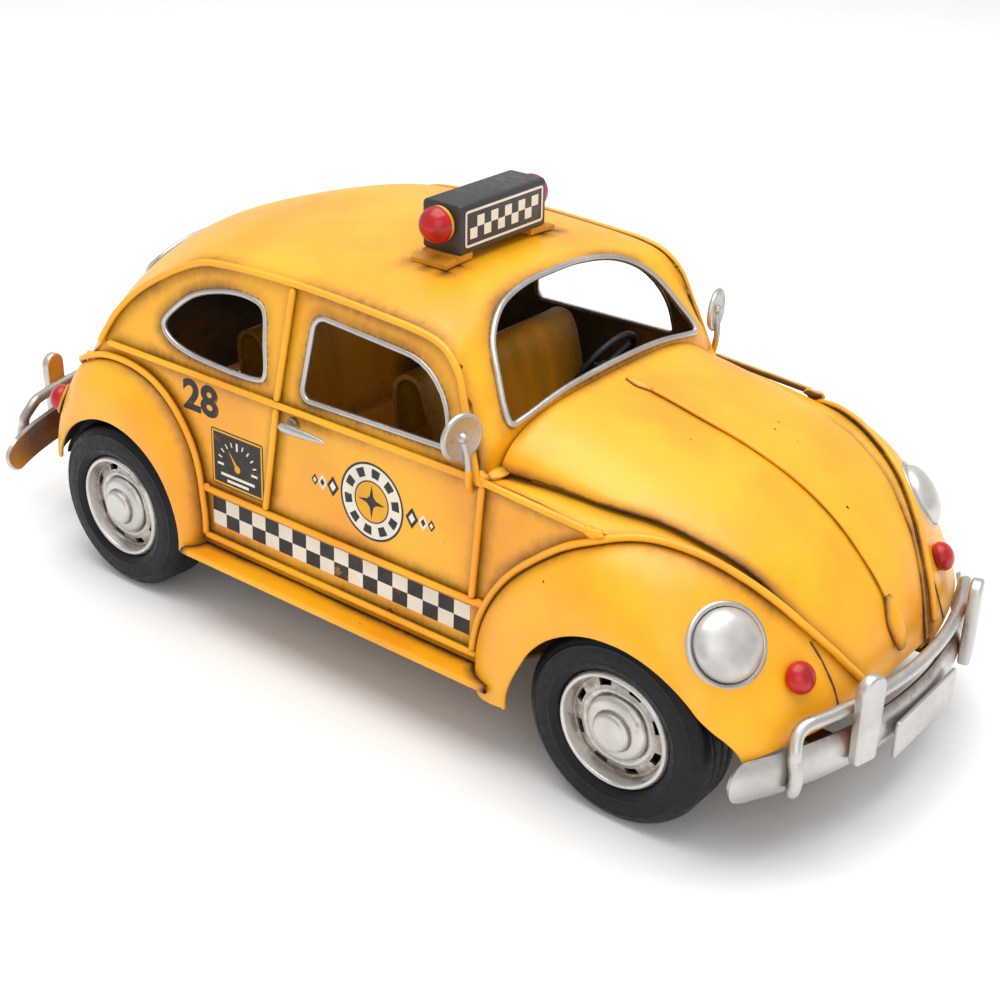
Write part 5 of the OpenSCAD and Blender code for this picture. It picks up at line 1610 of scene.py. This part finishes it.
class TAXI_OT_prints(Piece):
    """Printed pieces on the sides: sill chequers, door rosette, meter panel and fleet number"""

    bl_idname = "taxi.prints"
    bl_label = "Prints"

    ink = 0.03

    def execute(self, context):
        columns = context.scene.taxi_sizes.stripe_columns
        for side, hand in SIDES:
            for name, skin in (
                    ("sill_chequers", self.stripe(columns)), ("door_rosette", self.rosette()),
                    ("meter_panel", self.meter(side)), ("fleet_number", self.number(side))):
                put(f"{name}_{hand}", skin.on(side), PRINTS)
        return {"FINISHED"}

    def flat(self, rows, layer):
        """Closed rows of points laid on the left side, one layer over the last."""
        return net(on_side(rows, self.lift + self.ink * layer), False, True)

    def plate(self, sheet, kind):
        """Sheet of print as thick as its ink, all in one colour."""
        wall = thicken(outward(sheet, CABIN), self.ink)
        wall.kinds[:] = kind
        return wall

    def lay(self, outline, kind, layer, centre=None):
        """Star-shaped flat print."""
        outline = np.asarray(outline, float)
        centre = outline.mean(0) if centre is None else centre
        rows = np.stack([np.repeat(centre[None], len(outline), 0), outline])
        return self.plate(weld(self.flat(rows, layer)), kind)

    def band(self, inner, outer, kind, layer):
        """Flat print between two outlines."""
        return self.plate(self.flat(np.stack([inner, outer]), layer), kind)

    def circle(self, centre, r, count=72):
        """Points round a circle."""
        return np.asarray(centre) + r * rays(whole_turn(count), *np.eye(2))

    def stripe(self, columns):
        """Two rows of squares that change colour like a chessboard."""
        x, z = np.linspace(FRONT_X - 119.6, FRONT_X - 40.3, columns + 1), np.linspace(26.0, 33.2, 3)
        i, j = np.meshgrid(np.arange(columns), np.arange(2), indexing="ij")
        flat = np.stack(np.meshgrid(x, z, indexing="ij"), -1)
        sheet = net(on_side(flat, self.lift), kind=((i + j + 1) % 2).ravel())
        return thicken(outward(sheet, CABIN), self.ink)

    def rosette(self):
        """Round dial of alternate blocks, with a star in it and lozenges to either side."""
        c, blocks = np.array([FRONT_X - 68.6, 48.2]), 20
        rim, line, eye = self.circle(c, 9.2), self.circle(c, 8.7), self.circle(c, 5.0)
        parts = [self.lay(rim, CREAM, 0), self.band(line, rim, BLACK, 1)]
        for k in range(0, blocks, 2):
            ray = rays(np.linspace(k, k + 1, 6) * 2 * np.pi / blocks, *np.eye(2))
            block = np.stack([c + 5.9 * ray, c + 8.0 * ray])
            parts.append(self.plate(net(on_side(block, self.lift + self.ink)), BLACK))
        parts += [self.lay(eye, YELLOW, 1), self.band(self.circle(c, 4.7), eye, BLACK, 2)]
        star = (self.circle(c, 3.9, 16) - c) * np.tile([1, 0.36, 0.34, 0.36], 4)[:, None]
        parts.append(self.lay(c + star, BLACK, 2, c))
        for way in (-1, 1):
            for k, size in enumerate((2.5, 1.9, 1.4)):
                at = c + [way * (11.6 + 3.6 * k - 0.42 * k * k), 0]
                diamond = np.array([(-0.72, 0), (0, -1), (0.72, 0), (0, 1)]) * size
                parts.append(self.lay(at + diamond, k % 2, 0))
                parts.append(self.lay(at + 0.5 * diamond, 1 - k % 2, 1))
        return join(*parts)

    def meter(self, side):
        """Dark panel with a yellow border, a half round of ticks, a hand and two bars."""
        x0, x1, z0, z1 = FRONT_X - 119.4, FRONT_X - 102.2, 37.0, 51.2
        c, tip, lean, ticks = np.array([(x0 + x1) / 2, z0 + 5.6]), 6.6, 2.2, 11
        edge = round_box(x0, z0, x1, z1, 0.6)
        parts = [self.lay(edge, BLACK, 0), self.band(grow(edge, -0.75), grow(edge, -0.3), YELLOW, 1)]
        for k in range(ticks):
            a = math.pi * k / (ticks - 1)
            ray, across = np.array([math.cos(a), math.sin(a)]), np.array([-math.sin(a), math.cos(a)])
            foot, half = (4.6, 0.3) if k % 5 == 0 else (5.4, 0.18)
            tick = [
                c + foot * ray - half * across, c + tip * ray - half * across,
                c + tip * ray + half * across, c + foot * ray + half * across]
            parts.append(self.lay(tick, CREAM, 1))
        hand = np.array([-side * math.cos(lean), math.sin(lean)])
        across = np.array([-hand[1], hand[0]])
        parts.append(self.lay([c - 0.5 * across, c + 4.8 * hand, c + 0.5 * across], YELLOW, 1))
        parts.append(self.lay(self.circle(c, 0.95, 24), YELLOW, 2))
        for z, half in ((z0 + 3.1, 5.6), (z0 + 1.7, 3.6)):
            left, right, low, high = c[0] - half, c[0] + half, z - 0.35, z + 0.35
            parts.append(self.lay([(left, low), (right, low), (right, high), (left, high)], CREAM, 1))
        return join(*parts)

    def number(self, side):
        """Plain fleet number, from the built-in letters, read from outside."""
        at, high, wide = np.array([FRONT_X - 122.6, 57.2]), 8.0, 1.15
        letters = bpy.data.curves.new("number_line", "FONT")
        letters.body, letters.size, letters.offset, letters.resolution_u = "28", 1.0, 0.035, 6
        holder = linked("number_line", letters)
        graph = bpy.context.evaluated_depsgraph_get()
        flat = bpy.data.meshes.new_from_object(holder.evaluated_get(graph))
        flat.calc_loop_triangles()
        xy = np.zeros(len(flat.vertices) * 3)
        flat.vertices.foreach_get("co", xy)
        tris = np.zeros(len(flat.loop_triangles) * 3, int)
        flat.loop_triangles.foreach_get("vertices", tris)
        bpy.data.objects.remove(holder)
        bpy.data.curves.remove(letters)
        bpy.data.meshes.remove(flat)
        xy = xy.reshape(-1, 3)[:, :2]
        xy = (xy - (xy.min(0) + xy.max(0)) / 2) / np.ptp(xy[:, 1]) * high
        xy[:, 0] *= wide * -side
        return self.plate(weld(Skin(on_side(at + xy, self.lift), [], tris)), BLACK)


class TAXI_OT_cabin(Piece):
    """Seats, steering wheel, dashboard, floor pan, irons and axles"""

    bl_idname = "taxi.cabin"
    bl_label = "Cabin and underside"

    def execute(self, context):
        for node, x, wide, top in (
                ("front_seat", FRONT_X - 70, 56, 72), ("rear_seat", REAR_X + 27, 50, 68)):
            put(f"{node}_fold", self.bench(x, wide, top), ["seat_ochre"], [node])
        put("steering_hoop", self.steering(), ["wheel_black"], ["steering_wheel"])
        dress(["dashboard", "floor_pan", "bumper_irons"], "dark_tin_and_shade")
        dress(["front_axle", "rear_axle"], "aged_silver")
        return {"FINISHED"}

    def bench(self, x, wide, top):
        """Seat folded from one sheet: a smooth line in side view, browned at its sides and in its fold as
        painted shade.
        """
        fold, cushion, floor, rows, crook = 1.2, 41.0, SILL_Z + 0.15, 90, 42
        line = curve_at([
            (26, floor), (27, cushion - 3), (24, cushion + 0.6), (12, cushion - 1.4), (8, cushion + 3),
            (2.6, top - 5), (-1.6, top - fold / 2), (-6, top - 4), (-5, top - 16)], np.linspace(0, 8, rows))
        line = line + [x, 0]
        v = np.linspace(-1, 1, 41)
        points = np.stack(np.broadcast_arrays(line[:, :1], v * wide / 2, line[:, 1:]), -1)
        t = unit(np.gradient(line, axis=0))
        up = np.stack([t[:, 1], np.zeros(rows), -t[:, 0]], -1)
        sides = np.clip(np.abs(v) * 1.8 - 1.0, 0, 1)[None]
        wash_and_shade = sides + 0.6 * np.exp(-((np.arange(rows) - crook) / 6.0) ** 2)[:, None]
        sheet = net(points + up[:, None] * fold / 2, wash_and_shade=wash_and_shade.clip(0, 1))
        return thicken(outward(sheet, (x - 4, 0, 20)), fold)

    def steering(self):
        """Ring, three spokes, a hub and a column on one tilted axis."""
        tilt, r, bar, column_r = np.radians(62), 11, 0.8, 2
        at = np.array([FRONT_X - 51, 16, 65.5])
        d = unit(np.array([-np.sin(tilt), 0, np.cos(tilt)]))
        across = np.array([np.cos(tilt), 0, np.sin(tilt)])
        k = whole_turn(18)
        ring = lathe(np.column_stack([r - bar + bar * np.cos(k), bar * np.sin(k)]), at, d, 90, True)
        out = np.linspace(0, r - 0.9, 12)[:, None]
        spokes = [
            tube(at + out * (np.cos(w) * across + np.sin(w) * LEFT), 0.7, d, uneven=0)
            for w in np.radians([60, 180, 300])]
        reach = (7 - SEAM - column_r * np.cos(tilt)) / np.sin(tilt)
        column = lathe(
            [(0, -reach), (column_r, -reach), (column_r, 0.3), (1.6, 0.9), (0, 1.1)], at, d, 36)
        return join(ring, *spokes, column)


class TAXI_OT_wheels(Piece):
    """Tyres, slotted wheel discs and stepped hub caps"""

    bl_idname = "taxi.wheels"
    bl_label = "Wheels"

    def execute(self, context):
        slots = context.scene.taxi_sizes.wheel_slots
        for end, x in (("front", FRONT_X), ("rear", REAR_X)):
            for side, hand in SIDES:
                at, d = np.array([x, side * TRACK_Y, AXLE_Z]), np.array([0.0, side, 0])
                where, body = f"{end}_{hand}", f"{end}_wheelset"
                tyre = self.tyre(at, d)
                put(f"tyre_ring_{where}", tyre, ["tyre_rubber"], [f"tyre_{where}"], body)
                disc = join(self.disc(at, d, slots), self.hub(at, d), self.back(at, d))
                put(f"wheel_disc_{where}", disc, WHEEL, [f"rim_{where}"], body)
        return {"FINISHED"}

    def tyre(self, at, d):
        """Round-shouldered section with three grooves in the tread and a raised line on each wall."""
        r, wide, bore, rows, shoulder = AXLE_Z, 14.5, 13.25, 70, 3.3
        wall = curve_at([
            (bore, -3.6), (bore, -1.9), (bore + 0.5, -0.8), (bore + 1.6, -0.12), (bore + 3.2, 0),
            (r - 3, -0.25), (r - 1.5, -0.9), (r - 0.5, -1.9), (r - 0.08, -3.1)], np.linspace(0, 8, rows))
        for line, high in ((r - 2.6, 0.16), (bore + 2.0, 0.14)):
            wall[:, 1] += high * np.exp(-(((wall[:, 0] - line) / 0.22) ** 2))
        h = np.linspace(-shoulder, -wide + shoulder, 140)
        groove = sum(np.clip(1.6 - np.abs(h + wide / 2 - k * 2.6) / 0.28, 0, 1) for k in (-1, 0, 1))
        tread = np.column_stack([r - 0.6 * groove, h])
        back = wall[::-1] * [1, -1] - [0, wide]
        # The grooves carry the painted shade of the tread
        wash_and_shade = np.concatenate([np.zeros(rows), groove, np.zeros(rows)])
        return lathe(np.concatenate([wall, tread, back]), at, d, 144, True, wash_and_shade)

    def disc(self, at, d, slots):
        """Wheel disc, a little wavy as if hammered, with slots left open in it."""
        r, share, rows, thick = 13.2, 20, 97, 0.7
        steps = slots * share
        lines = curve_at([
            (r, -11.5), (r, -4), (r, -1.6), (r - 0.25, -0.8), (r - 0.7, -0.42), (r - 1.2, -0.6),
            (r - 1.5, -1.5), (r - 1.9, -2.9), (r - 2.4, -3.25), (r - 4.2, -2.75), (r - 5, -2.4),
            (r - 5.6, -2.6), (6.6, -3.2)],
            np.linspace(0, 12, rows))
        a, b, d = axes(d)
        k = whole_turn(steps)
        hammered = 0.16 * np.sin(5 * k + 0.6)[:, None] * np.clip((13 - lines[:, 0]) / 2, 0, 1)[None]
        high = lines[None, :, 1] + hammered
        points = at + lines[None, :, :1] * rays(k, a, b)[:, None] + high[..., None] * d
        deep = np.clip((-1.2 - lines[:, 1]) / 2.2, 0, 0.9) * (lines[:, 0] < r - 1)
        sheet = net(points, True, False, deep[None])
        i, j = np.meshgrid(np.arange(steps) % share, np.arange(rows - 1), indexing="ij")
        mid = ((lines[:-1, 0] + lines[1:, 0]) / 2)[j]
        slot = (i >= 6) & (i < 14) & (mid < r - 2.5) & (mid > r - 4.0) & (j > 50)
        shut = ~slot.ravel()
        sheet.quads, sheet.kinds = sheet.quads[shut], sheet.kinds[shut]
        return thicken(outward(sheet, at - 8 * d), thick)

    def hub(self, at, d):
        """Hub cap of two steps, browned in the step and at its edge."""
        under = -3.4
        cap = curve_at([
            (0, 0.8), (1.8, 0.74), (3.5, 0.5), (4.2, 0.0), (4.45, -0.6), (4.7, -1.0), (5.6, -1.25),
            (6.5, -1.6), (7.1, -2.3), (7.2, -3.0), (6.6, under)], np.linspace(0, 10, 81))
        step = np.append(np.clip(1 - np.abs(cap[:, 0] - 4.55) / 0.5, 0, 0.9), 0)
        cap = np.concatenate([cap, [(0, under)]])
        return lathe(cap, at, d, 96, wash_and_shade=np.maximum(step, np.clip((cap[:, 0] - 6.9) * 3, 0, 1)))

    def back(self, at, d):
        """Dark plate behind the slots, with a sleeve on the axle."""
        plate, sleeve, end = 12.4, 4, -20.5
        return lathe(
            [(0, -5.2), (plate, -5.2), (plate, -6.2), (sleeve, -6.6), (sleeve, end), (1.6, end), (0, end)],
            at, d, 64, kind=1)


class TAXI_OT_stage(bpy.types.Operator):
    """Pale floor, soft lights and the camera at the photographed angle"""

    bl_idname = "taxi.stage"
    bl_label = "Stage"

    def execute(self, context):
        look = context.scene.taxi_stage
        self.floor(look)
        self.light("key_light", look.key, 1.1, (0.0, 0.02, 1.1))
        self.light("fill_light", look.fill, 0.9, (0.85, -0.75, 0.55))
        world = bpy.data.worlds.new("studio_sky")
        world.use_nodes = True
        sky = world.node_tree.nodes["Background"].inputs
        sky["Color"].default_value, sky["Strength"].default_value = (1, 1, 1, 1), look.sky
        context.scene.world = world
        context.scene.view_settings.view_transform = "Standard"
        self.camera(context)
        return {"FINISHED"}

    def floor(self, look):
        """Wide flat floor with a faint drift of tone."""
        half = np.linspace(-4, 4, 9)
        x, y = np.meshgrid(half, half, indexing="ij")
        flat = net(np.stack([x, y, np.zeros_like(x)], -1))
        mesh = bpy.data.meshes.new("floor")
        mesh.from_pydata(flat.points.tolist(), [], flat.quads.tolist())
        f = Finish("pale_floor", Roughness=0.85, Specular_IOR_Level=0.2)
        tone = f.mix(f.span(f.noise(3, 2), 0.3, 0.7, 0, 0.3), look.floor, shade(look.floor, 0.985))
        mesh.materials.append(f.show(Base_Color=tone))
        floor = linked("floor", mesh)

    def set_frame(self, thing, right, up, back, place):
        """Places a light or the camera by its three axes and its place in metres."""
        rows = [[right[k], up[k], back[k], place[k]] for k in range(3)]
        thing.matrix_world = Matrix(rows + [[0, 0, 0, 1]])

    def light(self, name, power, size, place):
        """Square soft light that faces the middle of the car."""
        lamp = bpy.data.lights.new(name, "AREA")
        lamp.energy, lamp.size, lamp.shape = power, size, "SQUARE"
        d = unit(np.array([0, 0, 0.05]) - place)
        a, b, _ = axes(-d)
        self.set_frame(linked(name, lamp), a, b, -d, place)

    def camera(self, context):
        """Camera from its place, its heading, its dip and its roll."""
        place, heading, dip, roll = np.array([229.173, -274.45, 211.05]), 128.091, 27.213, -1.062
        h, e, w = (math.radians(x) for x in (heading, dip, roll))
        f = np.array([math.cos(h) * math.cos(e), math.sin(h) * math.cos(e), -math.sin(e)])
        r = unit(np.cross(f, UP))
        d = np.cross(f, r)
        right, down = math.cos(w) * r + math.sin(w) * d, -math.sin(w) * r + math.cos(w) * d
        lens = bpy.data.cameras.new("camera")
        lens.sensor_width, lens.lens, lens.clip_start = 36, 58.76, 0.01
        eye = linked("camera", lens)
        self.set_frame(eye, right, -down, -f, place * MM)
        context.scene.camera = eye


OPERATORS = (
    TAXI_OT_stage, TAXI_OT_roof, TAXI_OT_sides, TAXI_OT_bonnet, TAXI_OT_wings, TAXI_OT_beads,
    TAXI_OT_solder, TAXI_OT_frames, TAXI_OT_fittings, TAXI_OT_lamps, TAXI_OT_bumpers, TAXI_OT_sign,
    TAXI_OT_prints, TAXI_OT_cabin, TAXI_OT_wheels,
)


class TAXI_PT_pieces(bpy.types.Panel):
    """Pieces of the taxi and their values"""

    bl_idname = "TAXI_PT_pieces"
    bl_label = "Toy taxi"
    bl_space_type = "VIEW_3D"
    bl_region_type = "UI"
    bl_category = "Taxi"

    def draw(self, context):
        for group in (context.scene.taxi_sizes, context.scene.taxi_colours, context.scene.taxi_stage):
            box = self.layout.box()
            for key in group.__annotations__:
                box.prop(group, key)
        for operator in OPERATORS:
            self.layout.operator(operator.bl_idname)


GROUPS = (TaxiSizes, TaxiColours, TaxiStage)
CLASSES = (*GROUPS, *OPERATORS, TAXI_PT_pieces)


def register():
    """Registers the classes and gives each scene the values."""
    for c in CLASSES:
        bpy.utils.register_class(c)
    bpy.types.Scene.taxi_sizes = PointerProperty(type=TaxiSizes)
    bpy.types.Scene.taxi_colours = PointerProperty(type=TaxiColours)
    bpy.types.Scene.taxi_stage = PointerProperty(type=TaxiStage)


def unregister():
    """Takes back what register did."""
    for key in ("taxi_stage", "taxi_colours", "taxi_sizes"):
        delattr(bpy.types.Scene, key)
    for c in reversed(CLASSES):
        bpy.utils.unregister_class(c)


def main():
    """Makes every piece in order."""
    register()
    for operator in OPERATORS:
        group, name = operator.bl_idname.split(".")
        getattr(getattr(bpy.ops, group), name)()


if __name__ == "__main__":
    main()
